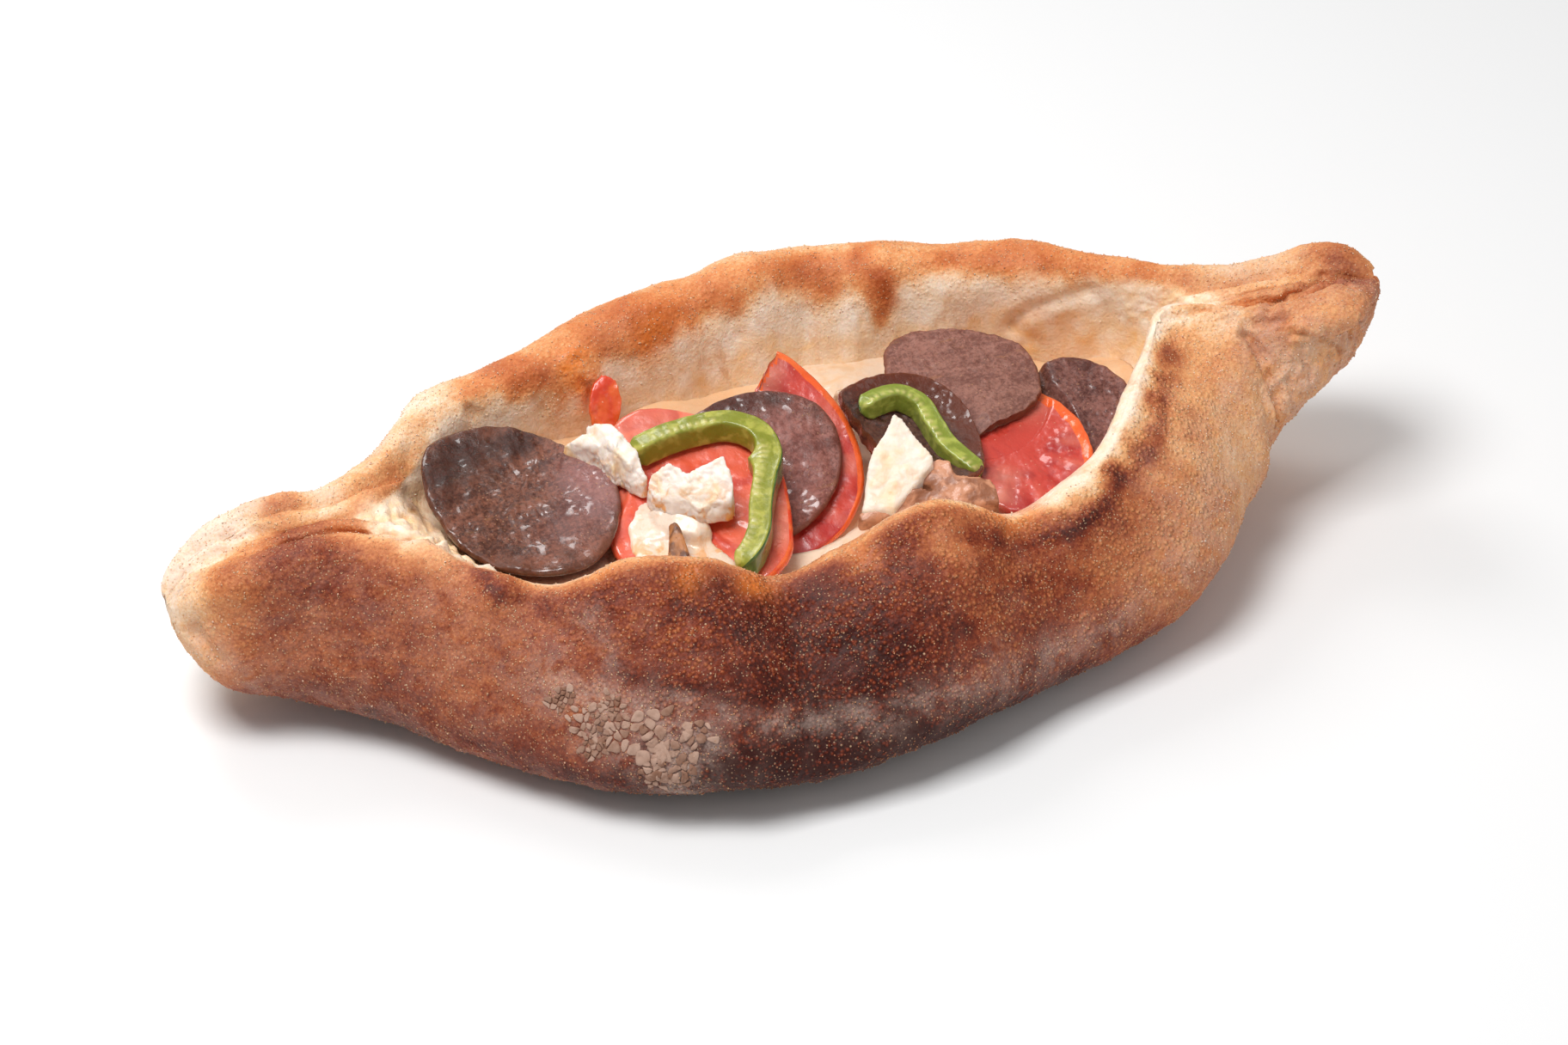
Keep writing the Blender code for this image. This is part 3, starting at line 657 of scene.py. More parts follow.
# Meshes -------------------------------------------------------------------------------------------
@dataclass
class Form:
    """Points in millimetres with the faces between them and a value a point for each mask."""

    points: Array
    faces: list
    masks: dict = field(default_factory=dict)

    def volume(self) -> float:
        """The volume inside, negative where the faces point inwards."""
        total = 0.0
        for size in (3, 4):
            chosen = np.array([face for face in self.faces if len(face) == size], int)
            if len(chosen):
                corners = self.points[chosen]
                for last in range(2, size):
                    turn = np.cross(corners[:, last - 1], corners[:, last])
                    total += (corners[:, 0] * turn).sum() / 6
        return float(total)

    def mesh(self, name: str) -> bpy.types.Mesh:
        """The mesh in metres, in the model's frame, its faces pointing out."""
        faces = [face[::-1] for face in self.faces] if self.volume() < 0 else self.faces
        made = bpy.data.meshes.new(name)
        made.from_pydata(((self.points + BOX_SHIFT) * MM).tolist(), [], faces)
        for key, values in self.masks.items():
            layer = made.attributes.new(key, "FLOAT", "POINT")
            layer.data.foreach_set("value", np.asarray(values, np.float32))
        made.shade_smooth()
        made.update()
        return made

    def normals(self) -> Array:
        """The outward direction at each point."""
        made = self.mesh("measured")
        found = np.zeros(len(self.points) * 3, np.float32)
        made.vertex_normals.foreach_get("vector", found)
        bpy.data.meshes.remove(made)
        return found.reshape(-1, 3).astype(float)

    @staticmethod
    def joined(forms: Sequence["Form"]) -> "Form":
        """Several forms as one, each mask 0 where a form lacks it."""
        keys = sorted({key for form in forms for key in form.masks})
        faces, start = [], 0
        for form in forms:
            faces += [tuple(corner + start for corner in face) for face in form.faces]
            start += len(form.points)
        masks = {
            key: np.concatenate([form.masks.get(key, np.zeros(len(form.points))) for form in forms])
            for key in keys
        }
        return Form(np.concatenate([form.points for form in forms]), faces, masks)


def tube_faces(count: int, around: int) -> list:
    """The faces of a closed skin over rings of points, with one more point at each end."""
    faces = []
    for row in range(count - 1):
        for i in range(around):
            j = (i + 1) % around
            here, there = row * around, (row + 1) * around
            faces.append((here + i, there + i, there + j, here + j))
    first, last, end = count * around, count * around + 1, (count - 1) * around
    for i in range(around):
        j = (i + 1) % around
        faces.append((first, i, j))
        faces.append((last, end + j, end + i))
    return faces


def skin(rings: Array, masks: dict) -> Form:
    """A closed form over rings of points.

    Args:
        rings: the points, by ring and round each ring.
        masks: for each mask, one value a point of each ring.

    Returns:
        The form, with a hub at each end.
    """
    count, around = rings.shape[:2]
    hubs = [rings[0].mean(axis=0), rings[-1].mean(axis=0)]
    points = np.concatenate([rings.reshape(-1, 3), hubs])
    full = {}
    for key, values in masks.items():
        values = np.broadcast_to(values, (count, around))
        full[key] = np.concatenate([values.reshape(-1), [values[0].mean(), values[-1].mean()]])
    return Form(points, tube_faces(count, around), full)


def show(name: str, form: Form, material: Material, replaced: Sequence[str] = ()) -> None:
    """Puts a piece in the scene.

    Args:
        name: the piece's name.
        form: its shape.
        material: its finish.
        replaced: the CAD nodes that it stands for.
    """
    piece = bpy.data.objects.new(name, form.mesh(name))
    piece.data.materials.append(material)
    bpy.context.scene.collection.objects.link(piece)
    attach(piece, BODY)
    if replaced:
        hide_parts(*replaced)
    log.info("%s: %d faces", name, len(form.faces))


# Smooth curves ------------------------------------------------------------------------------------
def along(knots: Sequence, x: Array) -> Array:
    """The knots' values at each x, by a smooth curve through them: one row a value."""
    table = np.array(knots, float)
    places, values = table[:, 0], table[:, 1:]
    slopes = np.gradient(values, places, axis=0)
    x = np.clip(x, places[0], places[-1])
    index = np.clip(np.searchsorted(places, x) - 1, 0, len(places) - 2)
    span = (places[index + 1] - places[index])[:, None]
    t = (x - places[index])[:, None] / span
    return (
        (2 * t**3 - 3 * t**2 + 1) * values[index]
        + (t**3 - 2 * t**2 + t) * span * slopes[index]
        + (3 * t**2 - 2 * t**3) * values[index + 1]
        + (t**3 - t**2) * span * slopes[index + 1]
    ).T


def on_rings(rings: Array, places: Array) -> Array:
    """Each closed ring at the given places, on a Catmull-Rom curve through its points."""
    index = np.floor(places).astype(int)
    t = (places - index)[None, :, None]
    before, here, after, later = (rings[:, (index + step) % rings.shape[1]] for step in (-1, 0, 1, 2))
    return 0.5 * (
        2 * here
        + (after - before) * t
        + (2 * before - 5 * here + 4 * after - later) * t**2
        + (3 * here - before - 3 * after + later) * t**3
    )


def path_distance(points: Array, path: Sequence[Triple]) -> Array:
    """How far each point lies from a line through places."""
    nearest = np.full(points.shape[:-1], 1e9)
    for start, end in zip(path, path[1:]):
        start, end = np.array(start, float), np.array(end, float)
        reach = (end - start) @ (end - start)
        share = np.clip(((points - start) @ (end - start)) / reach, 0, 1)
        gap = np.linalg.norm(points - start - share[..., None] * (end - start), axis=-1)
        nearest = np.minimum(nearest, gap)
    return nearest


def stroke(points: Array, path: Sequence[Triple], half_width: float) -> Array:
    """A soft stroke along a line through places: 1 on the line, fading to its sides."""
    return np.exp(-((path_distance(points, path) / half_width) ** 2))


def patches(points: Array, table: Sequence) -> Array:
    """Soft round patches laid over each other, from 0 to 1.

    Args:
        points: places, one row each.
        table: x, y, z, radius and strength of each patch.

    Returns:
        How strongly each point is covered.
    """
    bare = np.ones(points.shape[:-1])
    for x, y, z, radius, strength in table:
        square = ((points - (x, y, z)) ** 2).sum(axis=-1)
        bare *= 1 - strength * np.exp(-square / radius**2)
    return 1 - bare


# Dough --------------------------------------------------------------------------------------------
@dataclass
class Dough:
    """The boat of dough: its sections, its relief and where it browned, with painted shade on its low front.
    """

    length: float = 280.0
    middle: float = -2.0
    stations: int = 640
    crowding: float = 0.93
    lip: float = 9.0
    tip_rounding: float = 12.0
    tip_cap: float = 0.06
    # How many points lie between one point of a section and the next.
    spans: tuple = (3, 4, 16, 34, 30, 22, 14, 14, 5, 3, 3, 6, 24, 18, 18, 14, 14, 8, 4, 3)
    # x; y of the front belly and of the rear belly; z of the underside.
    hull: tuple = (
        (-142, 16, 15, 12), (-118, 23, 22, 7), (-102, 34, 28, 3), (-86, 51, 40, 1), (-66, 69, 54, 0),
        (-44, 80, 63, 0), (-18, 82, 70, 0), (8, 79, 73, 0), (34, 69.5, 68, 0), (58, 62, 59, 0),
        (72, 57, 52, 3.5), (84, 47, 44, 8), (94, 34, 37, 11), (106, 22, 29, 20), (118, 16, 23, 27),
        (138, 8, 16, 38),
    )
    # x; y and z of the front rim; y and z of the rear rim.
    crest: tuple = (
        (-142, -8, 34, 5, 35), (-132, -9, 39, 7, 38.5), (-118, -10, 42, 7, 42), (-102, -11, 43, 8, 41),
        (-90, -20, 42, 17, 41.5), (-78, -31, 41, 29, 44), (-66, -40, 40, 34, 45), (-50, -43, 45, 38, 46),
        (-34, -46, 43, 43, 48.5), (-22, -48, 36, 46, 49), (-6, -48, 40, 48, 49.5), (16, -46, 46, 50, 50),
        (36, -45, 38, 46, 50), (52, -40, 42, 40, 50), (64, -30, 45, 36, 50), (76, -14, 48, 29, 50),
        (88, 2, 50, 21, 50), (100, -2, 50, 15, 49), (116, -8, 51, 11, 50), (130, -8, 52, 8, 53),
        (138, -5, 51, 6, 52),
    )
    # x; y and z of the front foot of the inner wall and of the rear one; z of the floor.
    well: tuple = (
        (-142, -2, 31, 2, 31, 30), (-118, -2, 39, 2, 39, 38), (-102, -2, 40, 2, 40, 38.4),
        (-95, -4, 39, 4, 39, 37.6), (-89, -7, 37.5, 8, 36, 35.5), (-84.5, -11, 35, 12, 31, 33),
        (-80, -15, 33.5, 16, 27, 29.5), (-76, -19.5, 30.5, 19, 21, 23), (-71, -25, 23, 23, 16, 14),
        (-65, -28, 15, 26, 14, 9.5), (-58, -29.5, 13.5, 27, 14, 9), (-40, -34, 13, 29, 13, 9),
        (40, -33, 13, 30, 13, 9), (60, -27, 14, 26, 14, 9), (76, -8, 18, 20, 18, 12), (88, 8, 34, 14, 34, 32),
        (100, 5, 45, 7, 45, 43), (138, -1, 46, 1, 46, 45),
    )
    # x, y, z, radius and height of each.
    swellings: tuple = (
        (-23, 41, 45, 10, 1.8), (4, 49, 50, 10, 3), (34, 42, 46, 10, 1.6), (67, 33, 50, 11, 1.2),
        (-115, 6, 41, 8, 1.6), (-98, 6, 41, 9, 1.6), (-120, -14, 40, 12, 1.4), (-59, -50, 39, 10, 1.6),
        (-24, -56, 34, 13, 2.2), (3, -61, 37, 12, 1.6), (-78, -37, 40, 5, 2.2), (-76.5, -38, 40, 2.6, 1.2),
        (-88, -22, 42, 5, 2), (75, -27, 43, 12, 1.2), (101, -25, 18, 8, 2.2), (134, 3, 52, 9, 2.4),
        (122, -13, 48, 9, 2.2), (-137, 0, 31, 7, 2),
    )
    # Two ends, half width and depth of each.
    creases: tuple = (
        (-132, -7, 37, -139, -12, 27, 2, 1.6), (-139, -12, 27, -134, -16, 22, 2, 1.4),
        (104, -16, 46, 105, -24, 24, 3.5, 2.2), (107, -10, 50, 134, -12, 47, 2.2, 1.4),
        (128, -8, 52, 138, -2, 51, 2, 1.2), (-72, -42, 41, -66, -52, 36, 4, 1.2),
        (34, -46, 38, 30, -56, 34, 5, 1),
    )
    # Path, half width and depth of each.
    folds: tuple = (
        (((102, -10, 47), (103.4, -12, 45), (104.4, -15.5, 41), (106, -18, 36), (106.4, -20, 29)), 1.1, 1.6),
        (((109, -7, 50), (114, -2, 48), (119.6, -1.5, 50), (126.5, 2, 50), (128, -6, 51), (130, -11, 46)),
            0.9, 1.3),
        (((112, -14, 47.6), (116.5, -15.7, 46.6), (122.4, -14.4, 42.6), (123, -14.3, 40)), 0.7, 0.8),
        (((112.4, -15, 45), (114.5, -16.3, 39), (115.5, -16.7, 36.4)), 0.7, 0.9),
        (((127, -16, 50), (126.5, -13, 43.5), (127, -13, 40), (126.5, -12, 35.6)), 0.7, 0.7),
        (((103, -8, 48), (108, -9, 49), (112, -11, 49.4)), 0.8, 0.8),
        (((-127.4, 3.8, 38), (-120.6, 1.8, 39.5), (-113, -2.8, 41.5), (-106, -4.9, 41), (-100, -6.2, 39.4),
            (-95, -5.5, 39)), 0.9, 0.5),
        (((61, 29.6, 34.5), (65.4, 27.3, 39.2), (70, 25.6, 41.6), (78, 23, 44)), 1.6, 0.8),
        (((62, 29, 34), (67, 26, 30), (69, 25, 23)), 1.6, 0.6),
        (((-41, 36, 43.5), (-39.3, 33.8, 39), (-38.2, 32, 33)), 1.1, 1.5),
        (((-67, 29, 41), (-65, 27, 34)), 1.2, 0.9), (((-52, 33, 39), (-50.5, 30.5, 32)), 1, 0.7),
        (((-27, 36.5, 41), (-26, 34, 34)), 1, 0.7), (((-3, 40, 43), (-1.5, 37, 36)), 1.5, 0.6),
        (((14, 40, 42), (15, 37, 35)), 1.8, 0.6), (((26.5, 38, 41), (28, 35.5, 35)), 1, 0.9),
        (((85, -1.8, 49.8), (95.5, -1.4, 49.9), (102.8, -3.8, 50.2), (112.4, -1.3, 48.4), (122.4, 2, 47)),
            0.8, 1),
    )
    # Path, drop on the lower side, roll on the upper side, reach and way of each.
    overlaps: tuple = ((folds[0][0], -0.9, 0.5, 5, 1),)
    keel_lean: float = 0.2
    outer_profile: tuple = ((0.55, 0.0), (0.86, 0.08), (1.0, 0.34))
    shoulder: Pair = (0.34, 0.72)
    lip_outside: Pair = (0.9, 0.28)
    lip_inside: Pair = (0.75, 0.6)
    inner_wall: Pair = (0.72, 0.62)
    undulation_height: float = 0.5
    undulation_lengths: tuple = (19.0, 27.0, 38.0)
    wall_fold_height: float = 0.9
    wall_fold_length: float = 21.0
    wall_fold_place: float = 12.0
    wall_fold_reach: float = 2.0
    hollow_end: float = 85.0
    base_fade: float = 4.0
    # x and how brown the crust is painted there, from 0 to 1: its browning, made darker along the front with
    # painted shade, as the front faces away from the light.
    front_bake_and_shade: tuple = (
        (-142, 0.1), (-134, 0.4), (-124, 0.6), (-108, 0.68), (-90, 0.65), (-76, 0.64), (-62, 0.7),
        (-40, 0.78), (-10, 0.83), (18, 0.69), (40, 0.6), (60, 0.52), (78, 0.39), (96, 0.33), (112, 0.4),
        (124, 0.42), (138, 0.46),
    )
    # Patches: x, y, z, radius and strength of each.
    paled: tuple = (
        (-104, -9, 43, 6, 0.5), (-98, -12, 43, 5, 0.6), (-92, -18, 43, 5, 0.6), (-87, -24, 42.5, 4, 0.5),
        (-124, -5, 40, 6, 0.4), (-136, 3, 35, 7, 0.9), (-137, -7, 31, 5, 0.8), (-130, 8, 39, 7, 0.7),
        (45.3, -45.7, 39.5, 3, 0.6), (51.5, -43.4, 41, 3.6, 1), (60.1, -36.6, 43.4, 3.8, 1),
        (66.8, -29.3, 44.8, 3.8, 1), (72.3, -20.3, 46.4, 4, 1), (76.3, -12.8, 48, 4.2, 1),
        (81.5, -5.2, 49.4, 4.2, 1), (86.1, -3, 49.8, 4, 0.9), (91.8, -2.8, 49.8, 3.6, 0.7),
        (95.9, -5.4, 49.5, 3.4, 0.6), (102.1, -5.4, 49.5, 3.4, 0.5), (93, -30, 31, 8, 0.35),
        (119, -14, 50, 5, 0.3), (14, -55, 43, 6, 0.3), (-4, -53, 41.5, 5, 0.3), (-84, -12, 35, 8, 0.8),
        (-52, -42, 44, 5, 0.3), (104, -20, 34, 9, 0.4), (118, -15, 42, 8, 0.35),
    )
    stained: tuple = (
        (-83.8, 11.2, 35, 2.6, 0.9), (-85.2, 7, 34, 3, 1), (-86.2, 3.4, 33, 2.6, 0.9),
        (-64.4, 29.2, 42, 4, 0.2), (40.3, 16.1, 40, 6, 0.2), (-4.2, 30.3, 39, 5, 0.2),
        (-18, 31.6, 39, 4, 0.25), (73.5, -0.2, 38, 6, 0.25),
    )
    rear_bake: tuple = (
        (-142, 0.06), (-112, 0.1), (-95, 0.2), (-70, 0.25), (-40, 0.29), (0, 0.3), (40, 0.28), (70, 0.3),
        (95, 0.26), (115, 0.2), (138, 0.28),
    )
    toned: tuple = (
        (-34, -62, 36, 12, 0.25), (6, -62, 36, 18, 0.25), (40, -58, 32, 12, 0.3), (58, -48, 36, 11, 0.3),
        (-112, -14, 41, 9, 0.3), (-12, -70, 28, 18, 0.25), (100, -26, 30, 12, 0.15), (-20, 39, 46, 16, 0.2),
        (30, 42, 48, 16, 0.15), (-52, 34, 44, 12, 0.15),
    )
    browned: tuple = (
        (-59, 36.7, 45.3, 4.5, 0.5), (-55, 33.5, 44, 3.5, 0.45), (-50.5, 33.5, 43.5, 4, 0.55),
        (-66, 33, 44.5, 4, 0.3), (-37, 39.8, 47.6, 4, 0.45), (-34, 36.5, 44.4, 3.2, 0.45),
        (-31, 45, 49, 5, 0.3), (-23.9, 41.1, 48.4, 5.5, 0.7), (-19.6, 38.8, 45.4, 5, 0.75),
        (-14.5, 42.2, 48, 4, 0.5), (-6, 44, 48.6, 4.5, 0.35), (-2.5, 41.7, 45.6, 3.5, 0.35),
        (8, 45, 49.5, 5, 0.5), (17.4, 45.5, 48.2, 5.5, 0.55), (20.3, 42.5, 44.5, 3.2, 0.4),
        (29.9, 45.2, 50.3, 3.5, 0.55), (32.1, 39.6, 46.2, 3.6, 0.75), (33.6, 38.1, 43.2, 3.6, 0.7),
        (33, 37.5, 39.5, 3.2, 0.5), (50, 37.5, 49, 5, 0.5), (59.5, 34.8, 49.4, 5.5, 0.5),
        (68.4, 30.5, 50, 6, 0.55), (78, 25, 48, 5, 0.5), (88, 18, 48.5, 5, 0.5), (97, 12, 48, 4.5, 0.5),
        (105, 9, 48, 4.5, 0.4), (129, 5, 53, 7, 0.5), (133, -2, 51, 4, 0.4), (119, -12, 51, 5, 0.3),
        (109, -9, 50, 4, 0.3), (-116, 4.2, 42, 5, 0.65), (-112, 5.5, 43, 4, 0.4), (-98.5, 4.5, 41, 4, 0.4),
        (-92.6, 8.5, 40, 4.5, 0.5), (-87, 13, 39, 4.5, 0.5), (-116, -11, 42, 6, 0.2),
        (-67.5, -43.5, 39.5, 4, 0.4), (-62, -45, 41, 4, 0.45), (-57, -49, 41.6, 3.8, 0.4),
        (60.3, -43, 39, 4, 0.4), (52, -48, 36, 4, 0.4), (-48, -50.4, 38, 6, 0.45), (-41.8, -54.2, 36, 6, 0.4),
        (-33.8, -58.6, 38, 5, 0.3), (-10.1, -71.2, 32, 9, 0.4), (-19.5, -65.7, 30, 8, 0.35),
        (-45.3, -64.5, 27, 9, 0.45), (-33.4, -67.8, 24, 8, 0.35), (130.7, 2.1, 52, 6, 0.5),
        (134.2, -4.6, 49, 5, 0.5), (123.7, 0.8, 52, 5, 0.35),
    )
    # Strokes: path, half width and strength of each.
    bands: tuple = (
        (((84.2, -4.7, 48.8), (84.3, -9.8, 47.1), (76.9, -19.9, 46.2), (75, -24.8, 44.7), (68.8, -34.5, 42.2),
            (60.3, -41.7, 40.2), (53.1, -46, 39.6), (49, -49.3, 37.9), (43.2, -51.8, 36.1)), 2.6, 0.62),
        (((60.3, -42.7, 40.2), (53.1, -47, 39.6), (49, -50.3, 37.9), (43.2, -52.3, 36.1), (34.2, -52.7, 35),
            (26.7, -52.4, 38.5), (20, -52.8, 42)), 2, 0.42),
        (((-80.2, -30.4, 41.8), (-78.6, -34.4, 41), (-77, -38, 40)), 1.8, 0.85),
        (((-44.6, -53.8, 41.6), (-40.8, -57.4, 40.1), (-35.8, -61.3, 37.8), (-28.6, -60.7, 36.1)), 2.6, 0.5),
        (((-18.6, -63.5, 31.5), (-11.4, -66.6, 30.8), (-3.7, -68.9, 30.9), (5.5, -69.8, 31.4), (14, -68, 30)),
            3.2, 0.45),
        (((-59.5, -61, 31.6), (-52.8, -65.7, 31.1), (-44.8, -69.5, 30.6), (-34.2, -71.9, 29.1),
            (-24, -72, 27)), 2.8, 0.45),
        (((-30, -72, 24), (-14, -74.4, 23.3), (4, -74, 24), (18, -71, 24)), 2.4, 0.3),
    )
    floured: tuple = (
        (-138, -3, 34, 4, 0.9), (-132, 7, 39, 6, 0.8), (-121, 9, 43, 6, 0.9), (-106, 11, 41, 5, 0.7),
        (-75, 38, 42, 6, 0.8), (-90, 28, 38, 8, 0.7), (-62, 42, 43, 5, 0.6), (-135, -15, 21, 6, 0.5),
        (-137, -11, 25, 5, 0.7), (-127, -19, 17, 6, 0.4), (-70, -57, 27, 5, 0.6), (-64, -64.5, 23, 5, 0.8),
        (-64, -61, 29, 4, 0.5), (-55, -73, 20, 7, 0.9), (-51, -77, 14, 6, 0.8), (70, -55, 22, 7, 0.5),
        (85, -43, 26, 7, 0.5), (99, -29, 25, 5, 0.6), (110, -17, 38, 8, 0.8), (124, -14, 37, 8, 0.8),
        (104, -12, 45, 6, 0.5), (107, -20, 29, 6, 0.8), (129, -11, 44, 5, 0.6), (95, -23, 38, 8, 0.4),
        (110, 15, 48, 8, 0.6), (121, 11, 50, 6, 0.4), (117, -17, 32, 8, 0.7), (-60, -67, 24, 7, 0.7),
        (-46, -75, 23, 6, 0.6), (-112, -22, 28, 16, 0.16), (-90, -38, 28, 16, 0.16), (-74, -52, 26, 14, 0.2),
        (90, -34, 30, 16, 0.4), (76, -46, 28, 14, 0.35), (118, -13, 46, 9, 0.5), (131, -6, 46, 8, 0.4),
        (104, -8, 48, 6, 0.5),
    )
    filmed: tuple = (
        (((-62.4, -49.2, 39.3), (-60.5, -55.1, 36.4), (-58.4, -61, 32.3)), 3, 0.45),
        (((-52.2, -68.1, 28.8), (-44, -72.4, 27.6), (-35.7, -75.3, 25.3)), 2.6, 0.6),
        (((-32.9, -77.3, 23.1), (-23.3, -76.7, 20.7), (-11.5, -77.6, 20.4)), 3, 0.55),
        (((-11.2, -79.2, 17.5), (-3.3, -78.4, 19.3), (3.7, -77.3, 20.6)), 3.2, 0.5),
        (((8.6, -76.9, 19.5), (19.3, -73.8, 18.8), (30.7, -69.3, 17), (42.1, -65.1, 17.8), (58, -58, 19)), 5,
            0.5),
        (((-75, -46, 22), (-95, -34, 14), (-118, -22, 12)), 6, 0.3),
    )
    oiled: tuple = (
        (-42, 35, 44.6, 3.2, 0.9), (-41, 34.5, 41.5, 3.2, 1), (-40, 33.5, 38.2, 3.2, 1),
        (-39.5, 32, 34.5, 3, 0.8), (-13, 40.7, 45.7, 4, 0.4), (-22, 39, 45, 5, 0.6), (37, -42, 38, 4, 0.9),
        (30, -45, 40, 4, 0.7), (-56, -42, 43.4, 3, 0.5), (-40, -49, 44, 4, 0.7), (-27, -52, 39, 3.5, 0.7),
        (64, 30, 38, 8, 0.35), (-1, -53, 40, 3, 0.4), (52, 33, 37, 7, 0.3), (72, 25, 34, 7, 0.3),
        (-88, -19, 42, 4, 0.25),
    )
    # x and how far round its section the crust ends.
    rear_border: tuple = (
        (-142, 10.2), (-97, 10.3), (-91, 10.9), (-86, 12), (-80, 12.7), (-70, 12.75), (-60, 12.65),
        (-50, 12.5), (-43, 12.35), (-38, 12.7), (-30, 12.65), (-22, 12.6), (-15, 12.7), (-4, 12.85),
        (10, 12.85), (20, 12.65), (27, 12.8), (32, 12.35), (37, 12.7), (45, 12.9), (60, 12.95), (76, 12.9),
        (90, 12.8), (98, 12), (104, 10.4), (138, 10.2),
    )
    front_border: tuple = (
        (-142, 9.8), (-99, 9.6), (-95, 7.6), (-88, 6.6), (-78, 6.3), (-60, 6.5), (-30, 6.6), (0, 6.6),
        (22, 6.5), (36, 6.2), (48, 5.75), (62, 5.45), (78, 5.35), (90, 5.5), (96, 6.4), (102, 9.6),
        (138, 9.8),
    )
    border_width: float = 0.46
    floor_place: float = 10.0
    mouth_place: float = 6.15
    mouth_width: float = 0.5
    mouth_paling: float = 0.42
    back_paling: float = 0.16
    crag_paling: float = 0.9
    paled_share: float = 0.95
    toned_share: float = 0.6
    browned_share: float = 0.68
    rear_calm: float = 0.6
    # Reach, size and shift of the noises that make patches uneven.
    warps: tuple = ((2.2, 11.0, 0), (1.1, 4.0, 50))
    shaking: Pair = (0.6, 3.0)
    # Height and size of the relief, kind by kind.
    swell: Pair = (0.32, 7.0)
    grit: Pair = (0.10, 1.8)
    blister: Pair = (0.36, 3.0)
    pebble: Pair = (0.22, 1.4)
    knob_size: float = 3.2
    pleat: Pair = (0.7, 4.2)
    bed_grit: Pair = (0.25, 1.5)
    fold_shoulder: Pair = (0.35, 2.2)
    crags: tuple = (
        (-94, -9, 40, 4, 0.9), (-89, -14, 40, 5, 1), (-84, -20, 38, 5, 1), (-88, -4, 37, 5, 1),
        (-86, 4, 33, 4, 0.9), (-86, 11, 30, 4, 0.7), (-83, -12, 35, 5, 1), (-79, -18, 34, 5, 1),
        (-76, -24, 33, 5, 0.9), (-82, -20, 37, 5, 0.9), (-72, -29, 31, 4, 0.6), (-86, -1, 35, 4, 0.8),
        (93, 10, 44, 4, 0.7), (88, 14, 40, 5, 0.6), (100, 4, 46, 3.5, 0.7), (84, 5, 48, 3.5, 0.5),
        (-80, -28, 38, 3.5, 0.7), (-94.2, -0.9, 37.5, 5, 1), (-90.6, -4.1, 37, 5, 1), (-87.1, -7.9, 36, 5, 1),
        (-84.5, -12.8, 36, 4.5, 1), (-87.8, 1.7, 36, 4, 0.8), (-81.1, -17.1, 35, 4, 0.8),
    )
    wrinkled: tuple = (
        (112, -17, 38, 8, 1), (121, -15, 40, 8, 1), (117, -12, 47, 6, 0.6), (106, -20, 28, 6, 0.8),
    )

    # The masks that the finish and the grains read.
    kept: tuple = ("brown", "flour", "oil", "crumb", "golden", "blistered", "ruddy", "stained")

    def places(self) -> Array:
        """Where the points lie round a section, close together where the crust shows."""
        parts = [index + np.arange(count) / count for index, count in enumerate(self.spans)]
        return np.concatenate(parts)

    def x(self) -> Array:
        """The x of each section, closer together towards the ends."""
        quarter = self.crowding * math.pi / 2
        turns = np.sin(np.linspace(-quarter, quarter, self.stations))
        return self.middle + self.length / 2 * turns / math.sin(quarter)

    def sections(self, x: Array) -> Array:
        """The few points that each section is drawn through, as y and z."""
        front, rear, under = along(self.hull, x)
        front_y, front_z, rear_y, rear_z = along(self.crest, x)
        foot_front_y, foot_front_z, foot_rear_y, foot_rear_z, floor = along(self.well, x)
        keel = (rear - front) * self.keel_lean

        def side(belly: Array, top: tuple, foot: tuple) -> list:
            """One side, from the underside over the rim to the foot of the inner wall."""
            way = np.sign(belly)
            height = top[1] - under
            lip = np.minimum(self.lip, 0.75 * np.abs(top[0] - foot[0]))
            out, up = self.shoulder
            outside, inside, wall = self.lip_outside, self.lip_inside, self.inner_wall
            return [
                *((keel + part * (belly - keel), under + rise * height) for part, rise in self.outer_profile),
                (belly + out * (top[0] - belly), under + up * height),
                (top[0] + outside[0] * way * lip, top[1] - outside[1] * lip),
                top,
                (top[0] - inside[0] * way * lip, top[1] - inside[1] * lip),
                (top[0] + wall[0] * (foot[0] - top[0]), top[1] + wall[1] * (foot[1] - top[1])),
                foot,
            ]

        front_side = side(-front, (front_y, front_z), (foot_front_y, foot_front_z))
        rear_side = side(rear, (rear_y, rear_z), (foot_rear_y, foot_rear_z))
        middle = (foot_front_y + foot_rear_y) / 2
        ring = [(keel, under), *front_side, (middle, floor), *reversed(rear_side)]
        return np.array([[y + 0 * x, z + 0 * x] for y, z in ring]).transpose(2, 0, 1)

    @staticmethod
    def outward(grid: Array) -> Array:
        """The outward direction at each point of a grid of rings."""
        lengthwise = np.gradient(grid, axis=0)
        around_ring = np.roll(grid, -1, axis=1) - np.roll(grid, 1, axis=1)
        normals = np.cross(lengthwise, around_ring)
        return normals / np.maximum(np.linalg.norm(normals, axis=2, keepdims=True), 1e-9)

    def relief(self, points: Array, rear_wall: Array) -> Array:
        """The relief that the solid has too: waves, swellings and creases."""
        x, y, z = points[..., 0], points[..., 1], points[..., 2]
        waves = 0
        for step, length in enumerate(self.undulation_lengths):
            k = 2 * math.pi / length
            leaning, rising = k * (x + 0.4 * y) + 1.7 * step, k * (0.8 * y - 0.9 * z) + 2.3 * step
            waves = waves + np.sin(leaning) * np.cos(rising)
        height = self.undulation_height * waves / len(self.undulation_lengths)
        height = height * np.clip(z / self.base_fade, 0, 1)
        height = height + self.wall_fold_height * rear_wall * np.sin(2 * math.pi * x / self.wall_fold_length)
        for *place, radius, rise in self.swellings:
            height = height + rise * np.exp(-((points - place) ** 2).sum(axis=-1) / radius**2)
        for *ends, half_width, depth in self.creases:
            height = height - depth * stroke(points, (ends[:3], ends[3:]), half_width)
        return height

